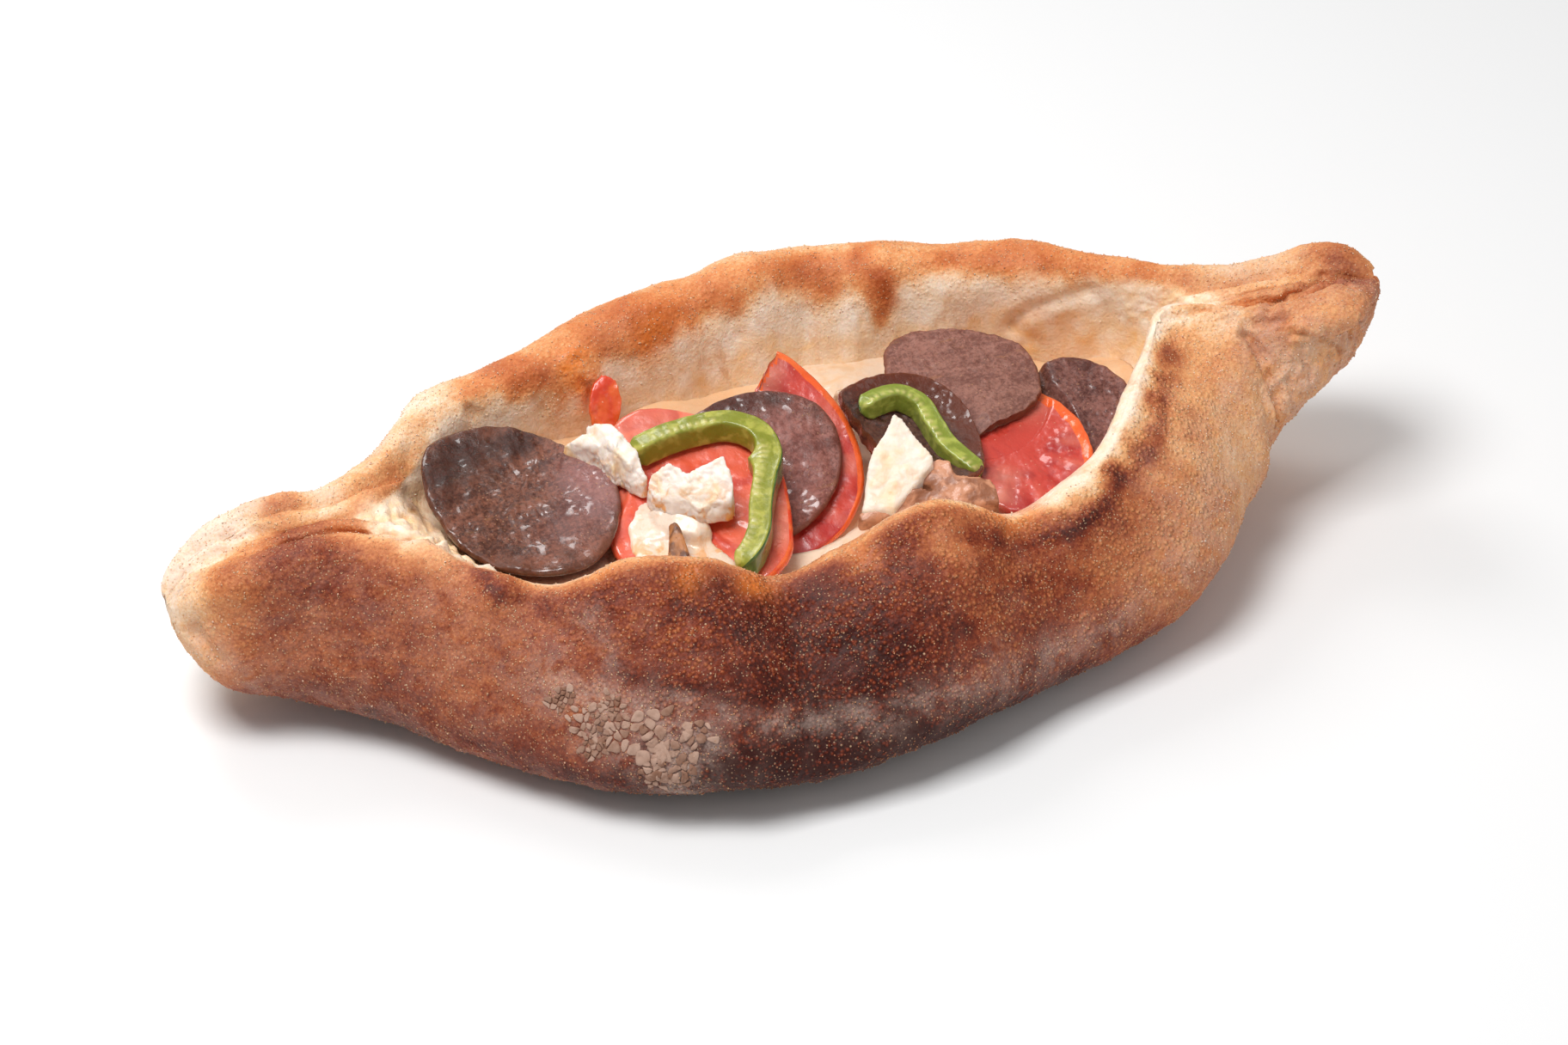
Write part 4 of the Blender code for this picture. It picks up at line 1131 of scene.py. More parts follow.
    def skin_grid(self) -> tuple[Array, Array]:
        """The dough's surface with the solid's relief.

        Returns:
            The points by section and round it, and 1 on the inside of the rear wall.
        """
        x = self.x()
        places = self.places()
        rings = on_rings(self.sections(x), places)
        centre = rings.mean(axis=1, keepdims=True)
        inward = np.clip((self.length / 2 - np.abs(x - self.middle)) / self.tip_rounding, 0, 1)
        shrink = np.sqrt(np.clip(1 - (1 - inward) ** 2, self.tip_cap, 1))[:, None, None]
        rings = centre + (rings - centre) * shrink
        across = np.broadcast_to(x[:, None, None], rings.shape[:2] + (1,))
        grid = np.concatenate([across, rings], axis=2)
        on_wall = np.clip(1 - np.abs(places - self.wall_fold_place) / self.wall_fold_reach, 0, 1)
        rear_wall = on_wall[None, :] * (np.abs(x) < self.hollow_end)[:, None]
        grid = grid + self.outward(grid) * self.relief(grid, rear_wall)[..., None]
        grid[..., 2] = np.maximum(grid[..., 2], 0)
        return grid, rear_wall

    def borders(self, grid: Array) -> tuple[Array, Array]:
        """How far round each section the crust ends, on the front and on the rear side."""
        x = grid[:, 0, 0]
        ragged = 0.22 * NOISE.fractal(grid * (0.7, 0.4, 0.4), 4.5, 3)
        ragged = ragged + 0.28 * NOISE.at(grid * (1, 0.3, 0.3), 9.0)
        front = along(self.front_border, x)[0][:, None] + 0.6 * ragged
        return front, along(self.rear_border, x)[0][:, None] + ragged

    def inside(self, grid: Array) -> Array:
        """1 on the walls of the hollow and on the pale edge of the mouth, 0 on the outer crust."""
        places = self.places()[None, :]
        front, rear = self.borders(grid)
        width = self.border_width
        return smooth_step(places - front, -width, width) * (1 - smooth_step(places - rear, -width, width))

    def baked_and_shaded(self, grid: Array, warped: Array) -> Array:
        """How brown each point is painted, from 0 to 1, before the hollow's walls are left pale: how it
        baked, darkened low on the front by painted shade.

        Args:
            grid: the points by section and round it.
            warped: the same points shifted by noise, so that no patch is round.

        Returns:
            One value a point.
        """
        places = self.places()[None, :]
        x, y, z = (grid[..., axis] for axis in range(3))
        front, rear = (along(table, x[:, 0])[0][:, None] for table in (self.front_bake_and_shade, self.rear_bake))
        bake = front + (rear - front) * smooth_step(places, 9.5, 11.5)
        bake = bake + 0.07 * NOISE.fractal(grid, 24.0, 3) + 0.07 * NOISE.fractal(grid * (0.45, 1, 1), 5.0, 2)
        middle = smooth_step(x, -75, -45) * (1 - smooth_step(x, 35, 75))
        # Painted shade: the low front and underside are painted darker, as if no light bounced up onto them.
        low = (1 - smooth_step(z, 6, 30)) * (places < self.floor_place)
        bake = bake + (0.14 + 0.18 * middle) * low
        mouth = np.exp(-(((places - self.mouth_place) / self.mouth_width) ** 2))
        bake = bake - self.mouth_paling * mouth * smooth_step(x, -80, -66) * (1 - smooth_step(x, 44, 60))
        fading = smooth_step(places - self.borders(grid)[1], -0.1, 0.8)
        bake = np.where(places > self.floor_place, bake * (0.35 + 0.65 * fading), bake)
        back = smooth_step(y, 47, 58) + smooth_step(-x, 60, 80) * smooth_step(y, 20, 34)
        bake = bake - self.back_paling * np.clip(back, 0, 1)
        clear = 1 - self.toned_share * patches(warped, self.toned)
        clear = clear * (1 - self.browned_share * patches(warped, self.browned))
        for path, half_width, strength in self.bands:
            clear = clear * (1 - strength * stroke(warped, path, half_width))
        return 1 - (1 - np.clip(bake, 0, 1)) * clear

    def coloured(self, grid: Array, rear_wall: Array, shaken: Array) -> dict:
        """Where the dough is brown, floured, oily, soft and so on.

        Args:
            grid: the points by section and round it.
            rear_wall: 1 on the inside of the rear wall.
            shaken: the same points shifted a little by noise.

        Returns:
            One value a point for each mask that the finish or the relief reads.
        """
        warped = grid
        for reach, size, shift in self.warps:
            warped = warped + reach * NOISE.vectors(grid + shift, size)
        x, height = grid[..., 0], grid[..., 2]
        inner = self.inside(grid)
        outer = 1 - inner
        craggy, browned = patches(warped, self.crags), patches(warped, self.browned)
        brown = outer * self.baked_and_shaded(grid, warped) + inner * 0.5 * browned * smooth_step(browned, 0.3, 0.7)
        brown = brown * (1 - self.crag_paling * craggy)
        brown = brown * (1 - self.paled_share * patches(warped, self.paled))
        flour = patches(warped, self.floured)
        for path, half_width, strength in self.filmed:
            flour = np.maximum(flour, strength * stroke(warped, path, half_width))
        edge = 1 - smooth_step(height, 3, 12)
        flour = 0.8 * flour + (0.02 + 0.3 * edge) * outer + 0.07 * NOISE.fractal(grid, 9.0)
        rear = smooth_step(self.places()[None, :], 9.6, 10.4)
        ruddy = rear * outer * smooth_step(x, -88, -62) * (1 - smooth_step(x, 86, 106))
        calm = 1 - self.rear_calm * rear
        knobs, _ = NOISE.cells(shaken, self.knob_size)
        golden = 0.02 + 0.15 * smooth_step(x, -45, -10) + 0.35 * (1 - smooth_step(height, 32, 42))
        return {
            "brown": brown,
            "flour": np.clip(flour, 0, 1),
            "oil": patches(warped, self.oiled),
            "crumb": np.clip(inner + craggy, 0, 1),
            "golden": golden + craggy * (0.1 + 0.5 * smooth_step(knobs, 0.35, 0.8)),
            "blistered": (0.45 + 0.55 * smooth_step(x, -75, -45) * (1 - smooth_step(x, 75, 95))) * calm,
            "ruddy": ruddy,
            "stained": patches(warped, self.stained),
            "outer": outer,
            "craggy": craggy,
            "knobs": knobs,
            "calm": calm,
            "wrinkled": patches(warped, self.wrinkled),
            "rear_wall": rear_wall,
        }

    def roughness(self, grid: Array, shaken: Array, masks: dict) -> Array:
        """The fine relief that only shows from near by, in millimetres.

        Args:
            grid: the points by section and round it.
            shaken: the same points shifted a little by noise.
            masks: what kind of crust lies at each point.

        Returns:
            One height a point.
        """
        outer, brown, calm = masks["outer"], masks["brown"], masks["calm"]
        rise, size = self.swell
        rough = rise * NOISE.fractal(grid, size, 3) * (0.4 + 0.6 * outer)
        rise, size = self.grit
        rough += rise * NOISE.fractal(grid, size, 2)
        wrinkle = np.abs(NOISE.fractal(grid * (1.0, 0.5, 0.35), 4.0, 3))
        rough += masks["wrinkled"] * (0.7 - 1.8 * wrinkle)
        rise, size = self.blister
        nearest, _ = NOISE.cells(grid, size)
        blisters = np.clip(1 - 1.7 * nearest, 0, 1) * smooth_step(brown, 0.3, 0.7)
        rough += rise * blisters * outer * masks["blistered"]
        rise, size = self.pebble
        nearest, _ = NOISE.cells(grid * (0.8, 1, 1), size)
        rough += rise * np.clip(1 - 1.5 * nearest, 0, 1) * outer * (0.5 + brown) * calm
        lumps = 1.6 * np.abs(NOISE.fractal(grid + 9, 4.6, 3)) + 0.5 * NOISE.at(grid, 1.5)
        rough += masks["craggy"] * (lumps + 1.8 * np.clip(1 - 1.4 * masks["knobs"], 0, 1))
        rise, size = self.pleat
        rough += rise * masks["rear_wall"] * NOISE.at(grid * (1, 0.5, 0.35), size)
        rise, size = self.bed_grit
        bed = np.clip(masks["flour"] - 0.3, 0, 1) * (grid[..., 1] < -50)
        rough += rise * bed * NOISE.fractal(grid, size, 2)
        share, apart = self.fold_shoulder
        for path, half_width, depth in self.folds:
            gap = path_distance(shaken, path)
            rough -= depth * np.exp(-(gap**2) / half_width**2)
            rough += share * depth * np.exp(-((gap - apart * half_width) ** 2) / half_width**2)
        for path, drop, roll, reach, way in self.overlaps:
            gap = path_distance(shaken, path)
            levels = np.array(sorted((z, x) for x, _, z in path))
            across = (shaken[..., 0] - np.interp(shaken[..., 2], levels[:, 0], levels[:, 1])) * way
            under = smooth_step(across, -1.3, 1.1)
            rough += under * drop * np.exp(-gap / reach)
            rough += (1 - under) * roll * np.exp(-(((gap - 1.6) / 1.8) ** 2))
        return rough

    def build(self) -> tuple[Form, Array, dict]:
        """The finished surface.

        Returns:
            The form, its points by section and round it, and its masks in the same order.
        """
        grid, rear_wall = self.skin_grid()
        reach, size = self.shaking
        shaken = grid + reach * NOISE.vectors(grid, size)
        masks = self.coloured(grid, rear_wall, shaken)
        rough = self.roughness(grid, shaken, masks)
        masks = {key: masks[key] for key in self.kept}
        rough = rough * np.clip(grid[..., 2] / self.base_fade, 0, 1)
        points = grid + self.outward(grid) * rough[..., None]
        points[..., 2] = np.maximum(points[..., 2], 0)
        masks["brown"] = np.clip(masks["brown"], 0, 1)
        return skin(points, masks), points, masks


# Things scattered on the crust --------------------------------------------------------------------
@dataclass
class Semolina:
    """Grains of semolina stuck to the crust."""

    count: int = 24500
    smallest: float = 0.11
    largest: float = 0.30
    unevenness: Pair = (0.6, 1.15)
    showing: float = 0.35
    toast_spread: float = 0.2
    seed: int = 5

    def build(self, points: Array, masks: dict, inner: Array) -> Form:
        """Strews the grains.

        Args:
            points: the dough's points by section and round it.
            masks: the dough's masks in the same order.
            inner: 1 inside the hollow.

        Returns:
            All grains as one form.
        """
        draw = np.random.default_rng(self.seed)
        lengthwise = np.gradient(points, axis=0)
        around_ring = (np.roll(points, -1, axis=1) - np.roll(points, 1, axis=1)) / 2
        area = np.linalg.norm(np.cross(lengthwise, around_ring), axis=2)
        cover = 0.45 + 0.9 * masks["flour"] + 0.35 * NOISE.fractal(points, 8.0) + 0.1 * masks["brown"]
        cover = np.clip(cover, 0.02, 1.2) * (1 - 0.93 * inner) * (points[..., 2] > 1.0)
        weight = (area * cover).reshape(-1)
        chosen = draw.choice(len(weight), self.count, p=weight / weight.sum())
        normals = Dough.outward(points).reshape(-1, 3)[chosen]
        shift = draw.uniform(-0.5, 0.5, (2, self.count, 1))
        seat = points.reshape(-1, 3)[chosen]
        for part, way in zip(shift, (lengthwise, around_ring)):
            seat = seat + part * way.reshape(-1, 3)[chosen]
        size = self.smallest + (self.largest - self.smallest) * draw.random(self.count) ** 2
        local = masks["brown"].reshape(-1)[chosen] * (1 - 0.7 * masks["flour"].reshape(-1)[chosen])
        toasted = np.clip(0.02 + 1.05 * local + draw.normal(0, self.toast_spread, self.count), 0, 1)
        corners = np.array([(1, 0, 0), (0, 1, 0), (-1, 0, 0), (0, -1, 0), (0, 0, 1), (0, 0, -1)], float)
        turns = draw.normal(size=(self.count, 3, 3))
        turns, _ = np.linalg.qr(turns)
        shape = (corners[None] * draw.uniform(*self.unevenness, (self.count, len(corners), 1))) @ turns
        seat = seat + normals * (self.showing * size)[:, None]
        grains = seat[:, None] + shape * size[:, None, None]
        belt = [(i, (i + 1) % 4) for i in range(4)]
        pattern = np.array([(i, j, 4) for i, j in belt] + [(j, i, 5) for i, j in belt])
        flip = np.linalg.det(turns)[:, None, None] < 0
        first = len(corners) * np.arange(self.count)[:, None, None]
        faces = np.where(flip, pattern[None, :, ::-1], pattern[None]) + first
        faces = [tuple(face) for face in faces.reshape(-1, 3).tolist()]
        return Form(grains.reshape(-1, 3), faces, {"toasted": np.repeat(toasted, len(corners))})


@dataclass
class FlourFlakes:
    """Dried flour that cracked into small flat flakes on the low front."""

    # x, y, z, reach and size of the flakes in each bed.
    beds: tuple = (
        (-54, -71, 23.8, 6, 2.3), (-52, -75, 17, 6.5, 2), (-46.2, -75.2, 23, 4.4, 1.7),
        (-60.8, -67.8, 23.2, 5, 1.7), (-55.6, -74.5, 14.6, 4.5, 1.5), (-65.4, -64.6, 22.4, 4.6, 1.4),
        (-70.4, -58.6, 25.6, 4.2, 1.2), (-66, -66.6, 18.5, 3.6, 1.2), (-61.5, -64.5, 27, 3.2, 1.1),
    )
    seed: int = 3
    crack: float = 0.07
    widest_crack_size: float = 1.6
    thickness: float = 0.36
    thickness_spread: Pair = (0.6, 1.3)
    jitter: float = 0.42
    ground_reach: float = 1.8
    bare: float = 0.06
    thinning: float = 3.5
    neighbours: float = 2.6
    corner_rounds: int = 2
    corner_cuts: Pair = (0.22, 0.78)
    wobble: Pair = (-0.04, 0.05)
    sunk: float = 0.5
    # Share of the outline and of the thickness at each ring.
    profile: tuple = ((1.0, 0.4), (0.93, 0.8), (0.74, 1.0), (0.4, 1.05))

    def build(self, points: Array) -> Form:
        """Lays the flakes.

        Args:
            points: the dough's points by section and round it.

        Returns:
            All flakes as one form.
        """
        draw = np.random.default_rng(self.seed)
        flat = points.reshape(-1, 3)
        normals = Dough.outward(points).reshape(-1, 3)
        forms = []
        for x, y, z, reach, size in self.beds:
            centre = np.array((x, y, z))
            gaps = ((flat - centre) ** 2).sum(axis=1)
            up = normals[np.argmin(gaps)]
            nearby = gaps < (self.ground_reach * reach) ** 2
            ground = (flat[nearby], normals[nearby])
            side = np.cross(up, (0, 0, 1.0))
            side /= np.linalg.norm(side)
            rise = np.cross(side, up)
            seats = self._seats(draw, reach, size)
            for number, seat in enumerate(seats):
                if draw.random() < self.bare + (np.linalg.norm(seat) / reach) ** self.thinning:
                    continue
                outline = self._cell(seat, np.delete(seats, number, axis=0), size)
                if len(outline) > 2:
                    forms.append(self._flake(outline, ground, (centre, side, rise), draw))
        return Form.joined(forms)

    def _seats(self, draw: np.random.Generator, reach: float, size: float) -> Array:
        """Scattered places on a disc, about a size apart."""
        steps = np.arange(-reach, reach + size, size)
        grid = np.array([(u, v) for u in steps for v in steps])
        grid = grid + draw.uniform(-self.jitter, self.jitter, grid.shape) * size
        return grid[np.linalg.norm(grid, axis=1) < reach]

    def _cell(self, seat: Array, others: Array, size: float) -> list:
        """The part of the plane nearer to a seat than to the others, drawn in by the crack."""
        outline = [seat + size * np.array(corner) for corner in ((-1, -1), (1, -1), (1, 1), (-1, 1))]
        gaps = np.linalg.norm(others - seat, axis=1)
        near = gaps < self.neighbours * size
        for other, gap in zip(others[near], gaps[near]):
            away = (other - seat) / gap
            limit = gap / 2 - self.crack * min(size, self.widest_crack_size)
            kept = []
            for start, end in zip(outline, outline[1:] + outline[:1]):
                first, second = (start - seat) @ away - limit, (end - seat) @ away - limit
                if first <= 0:
                    kept.append(start)
                if first * second < 0:
                    kept.append(start + (end - start) * first / (first - second))
            outline = kept
        return outline

    def _flake(self, outline: list, ground: tuple, plane: tuple, draw: np.random.Generator) -> Form:
        """One flake: a low slab with a drawn-in top, laid on the crust.

        Args:
            outline: its corners on the bed's plane.
            ground: the crust's points near by, and their outward directions.
            plane: the bed's centre and the plane's two directions.
            draw: the source of random numbers.

        Returns:
            The flake.
        """
        flat, normals = ground
        centre, side, rise = plane
        middle = np.mean(outline, axis=0)
        thick = self.thickness * draw.uniform(*self.thickness_spread)
        tone = draw.random()
        for _ in range(self.corner_rounds):
            edges = list(zip(outline, outline[1:] + outline[:1]))
            outline = [start + (end - start) * part for start, end in edges for part in self.corner_cuts]
        wobble = 1 + draw.uniform(*self.wobble, len(outline))
        outline = [middle + (corner - middle) * scale for corner, scale in zip(outline, wobble)]
        rings = []
        for spread, height in ((1.0, -self.sunk), *((share, part * thick) for share, part in self.profile)):
            ring = []
            for corner in outline:
                u, v = middle + (corner - middle) * spread
                place = centre + u * side + v * rise
                near = np.argmin(((flat - place) ** 2).sum(axis=1))
                foot = place + normals[near] * ((flat[near] - place) @ normals[near])
                ring.append(foot + normals[near] * height)
            rings.append(ring)
        return skin(np.array(rings), {"tone": np.full((len(rings), len(outline)), tone)})


# Filling ------------------------------------------------------------------------------------------
@dataclass(frozen=True)
class Slice:
    """A round or oval slice, tilted as it lies in the filling."""

    name: str
    centre: Triple
    radii: Pair
    tilt: Triple
    thickness: float
    finish: object
    slot: Slot
    dish: float = 0.0
    curl: float = 0.0
    ripple: float = 0.5
    cut: tuple = ()
    torn: float = 0.12
    bumps: float = 0.22
    bump_size: float = 3.0
    haze: tuple = ()
    char: tuple = ()
    fibres: float = 0.0
    outline: tuple = ((0, 1.0),)
    rind: Triple = (0.0, 0.0, 0.0)
    shown: float = 2.2
    around: int = 160
    top_rings: int = 34
    edge_rings: int = 9
    sole_rings: int = 8
    flat_share: float = 0.95
    edge_start: float = 0.25
    press_gap: float = 0.3
    press_edge: float = 1.02
    press_slope: float = 1.6
    press_reach: float = 1.35

    @property
    def sole(self) -> float:
        """How far the slice's underside lies above or below its middle surface."""
        return self.thickness / 2 - self.shown

    def turn(self) -> Array:
        """The slice's rotation: pitch lifts its rear edge, roll lifts its right edge."""
        pitch, roll, yaw = (math.radians(angle) for angle in self.tilt)
        leaning = Matrix.Rotation(-roll, 3, "Y") @ Matrix.Rotation(pitch, 3, "X")
        return np.array(leaning @ Matrix.Rotation(yaw, 3, "Z"))

    def over(self, x: Array, y: Array) -> tuple[Array, Array]:
        """The slice's middle surface over x and y.

        Returns:
            Its z, and how far out the place is, 1 at the slice's edge.
        """
        turn = self.turn()
        normal = turn[:, 2]
        dx, dy = x - self.centre[0], y - self.centre[1]
        z = -(normal[0] * dx + normal[1] * dy) / normal[2]
        local = np.stack([dx, dy, z], axis=-1) @ turn
        u, v = local[..., 0] / self.radii[0], local[..., 1] / self.radii[1]
        square = u * u + v * v
        return self.centre[2] + z + self.dish * square + self.curl * v * v, np.sqrt(square)

    def settled(self, points: Array, above: Sequence["Slice"]) -> Array:
        """The points pressed down where slices lie on them."""
        points = points.copy()
        for upper in above:
            middle, out = upper.over(points[:, 0], points[:, 1])
            slope = min(upper.radii) * self.press_slope
            ceiling = middle + upper.sole - self.press_gap + np.clip(out - self.press_edge, 0, None) * slope
            pressed = np.minimum(points[:, 2], ceiling)
            points[:, 2] = np.where(out < self.press_reach, pressed, points[:, 2])
        return points

    def form(self, above: Sequence["Slice"]) -> Form:
        """The slice's shape.

        Args:
            above: the slices that lie on it.

        Returns:
            The closed form, with masks for its rim, haze and fibres.
        """
        top = np.linspace(0.03, self.flat_share, self.top_rings)
        bend = np.linspace(self.edge_start, math.pi - self.edge_start, self.edge_rings)
        edge = self.flat_share + (1 - self.flat_share) * np.sin(bend)
        sole = np.linspace(self.flat_share, 0.05, self.sole_rings)
        radius = np.concatenate([top, edge, sole])
        level = np.concatenate([np.full(len(top), 0.5), 0.5 * np.cos(bend), np.full(len(sole), -0.5)])
        angle = np.linspace(0, 2 * math.pi, self.around, endpoint=False)
        seedling = sum(map(ord, self.name)) * 1.7
        wave = np.sin(3 * angle + self.centre[0]) + np.sin(5 * angle + self.centre[1])
        seeds = np.full(len(angle), seedling)
        circle = np.stack([np.cos(angle), np.sin(angle), seeds], axis=-1)
        ragged = self.torn * (NOISE.at(circle * 6, 1.0) + 0.6 * NOISE.at(circle * 16, 1.0)) / min(self.radii)
        knots, reach = np.array(self.outline, float).T
        degrees = np.degrees(angle)
        turned = [np.interp(degrees + shift, knots, reach, period=360) for shift in (-6, -3, 0, 3, 6)]
        out = np.mean(turned, axis=0) + 0.02 * self.ripple * wave + ragged
        drawn = radius[:, None] * (1 + (out - 1)[None] * radius[:, None] ** 3)
        u, v = drawn * np.cos(angle)[None], drawn * np.sin(angle)[None]
        square = u * u + v * v
        lift = self.dish * square + self.curl * v * v
        lift = lift + self.ripple * square**2 * np.sin(2 * angle + self.centre[0])[None]
        across, deep = u * self.radii[0], v * self.radii[1]
        rim = np.broadcast_to(radius[:, None], u.shape).copy()
        if self.cut:
            across, deep, rim = self._chopped(across, deep, rim)
        place = np.stack([across, deep, np.full(across.shape, seedling)], axis=-1)
        relief = self.bumps * NOISE.fractal(place, self.bump_size, 3)
        relief = relief + 0.35 * self.bumps * NOISE.at(place, 1.0)
        fibre = np.zeros(u.shape)
        if self.fibres:
            streak = np.stack([np.cos(angle) * 3.5, np.sin(angle) * 3.5, seeds], axis=-1)
            fibre = np.clip(0.5 + 0.9 * NOISE.at(streak, 1.0), 0, 1)[None]
            fibre = fibre * smooth_step(radius, 0.15, 0.8)[:, None]
            relief = relief + self.fibres * (fibre - 0.5)
        face = np.where(level > 0.3, 1.0, 0.25) * (0.15 + 0.85 * smooth_step(radius, 0.05, 0.35))
        height = (level[:, None] - 0.5) * self.shown + self.thickness / 2 + lift + relief * face[:, None]
        local = np.stack([across, deep, height], axis=-1)
        world = local @ self.turn().T + np.array(self.centre)
        world = self.settled(world.reshape(-1, 3), above).reshape(world.shape)
        flat = np.stack([across, deep, 0 * across], axis=-1)
        skinned, least, most = self.rind
        band = least + most * np.clip(np.cos(angle - math.radians(skinned)), 0, 1)[None]
        rind = smooth_step(rim - (1 - band), -0.012, 0.012) * (band > 0)
        masks = {"rim": rim, "fibre": fibre, "rind": rind}
        masks.update({"haze": patches(flat, self.haze), "char": patches(flat, self.char)})
        return skin(world, masks)

    def _chopped(self, across: Array, deep: Array, rim: Array) -> tuple:
        """The slice drawn back to a torn line where part of it is missing."""
        x, y, away_x, away_y = self.cut
        along_cut = (across - x) * away_y - (deep - y) * away_x
        jag = 0.5 * NOISE.at(np.stack([along_cut, 0 * along_cut, 0 * along_cut + 3], axis=-1), 1.8)
        beyond = (across - x) * away_x + (deep - y) * away_y - jag
        back = np.clip(beyond, 0, None)
        rim = np.where(beyond > -0.8, np.maximum(rim, 0.96), rim)
        return across - back * away_x, deep - back * away_y, rim

    def show(self, above: Sequence["Slice"]) -> None:
        """Puts the slice in the scene in place of its solid."""
        show(self.name + "_look", self.form(above), self.finish.material(), (self.name,))


@dataclass(frozen=True)
class PepperStrip:
    """A strip of pepper: flesh above, skin on its outer side and a lumpy inner side."""

    name: str
    path: tuple
    width: float
    depth: float
    finish: PepperFinish
    knob: Triple = (0.5, 0.04, 0.0)
    samples: int = 150
    around: int = 56
    squareness: float = 0.24
    tip_width: float = 0.35
    bead_length: float = 1.7
    bead_place: float = 0.30
    groove_place: float = 0.26
    relief_height: float = 0.22
    grain: Pair = (0.09, 2.6)

    def form(self) -> Form:
        """The strip's shape, with masks for skin and lumps."""
        path = np.array(self.path, float)
        reach = np.concatenate([[0], np.cumsum(np.linalg.norm(np.diff(path, axis=0), axis=1))])
        share = np.linspace(0, 1, self.samples)
        middle = along(np.column_stack([reach, path]), share * reach[-1]).T
        way = np.gradient(middle, axis=0)
        way /= np.linalg.norm(way, axis=1, keepdims=True)
        sideways = np.cross(way, (0, 0, 1))
        sideways /= np.linalg.norm(sideways, axis=1, keepdims=True)
        upward = np.cross(sideways, way)
        angles = np.linspace(0, 2 * math.pi, self.around, endpoint=False)
        square = self.squareness
        across = self.width / 2 * np.sign(np.cos(angles)) * np.abs(np.cos(angles)) ** square
        high = self.depth / 2 * np.sign(np.sin(angles)) * np.abs(np.sin(angles)) ** square
        length = share * reach[-1]
        end = np.minimum(length, reach[-1] - length)
        taper = self.tip_width + (1 - self.tip_width) * np.sqrt(np.clip(end / (0.4 * self.width), 0, 1))
        place, width, rise = self.knob
        lump = rise * np.exp(-(((share - place) / width) ** 2))
        inner = np.clip(np.cos(angles), 0, 1)
        sides = across[None] * taper[:, None] + (lump[:, None] * inner[None])
        highs = high[None] * taper[:, None]
        rings = middle[:, None] + sideways[:, None] * sides[..., None]
        rings = rings + upward[:, None] * highs[..., None]
        on_top = np.clip(np.sin(angles), 0, 1)
        # A row of lumps along the top, which the finish paints pale as painted glints on the ridge.
        beads = 0.5 + 0.5 * np.sin(length * 2 * math.pi / self.bead_length + 1.5 * NOISE.at(middle, 5.0))
        row = np.exp(-(((across / self.width - self.bead_place) / 0.10) ** 2)) * (np.sin(angles) > 0)
        lumps = beads[:, None] * row[None] * smooth_step(NOISE.at(middle, 7.0), -0.5, 0.3)[:, None]
        outward = sideways[:, None] * np.cos(angles)[None, :, None]
        outward = outward + upward[:, None] * np.sin(angles)[None, :, None]
        groove = np.exp(-(((across / self.width + self.groove_place) / 0.08) ** 2)) * (np.sin(angles) > 0)
        rise, size = self.grain
        relief = rise * NOISE.fractal(rings, size, 3) + self.relief_height * (lumps - groove[None])
        relief = relief * (0.35 + 0.65 * np.maximum(on_top, inner))[None]
        rings = rings + outward * relief[..., None]
        covered = smooth_step(-across / (self.width / 2), 0.78, 0.97)
        return skin(rings, {"skin": np.broadcast_to(covered, rings.shape[:2]), "lumps": lumps})

    def show(self) -> None:
        """Puts the strip in the scene in place of its solid."""
        show(self.name + "_look", self.form(), self.finish.material(), (self.name,))


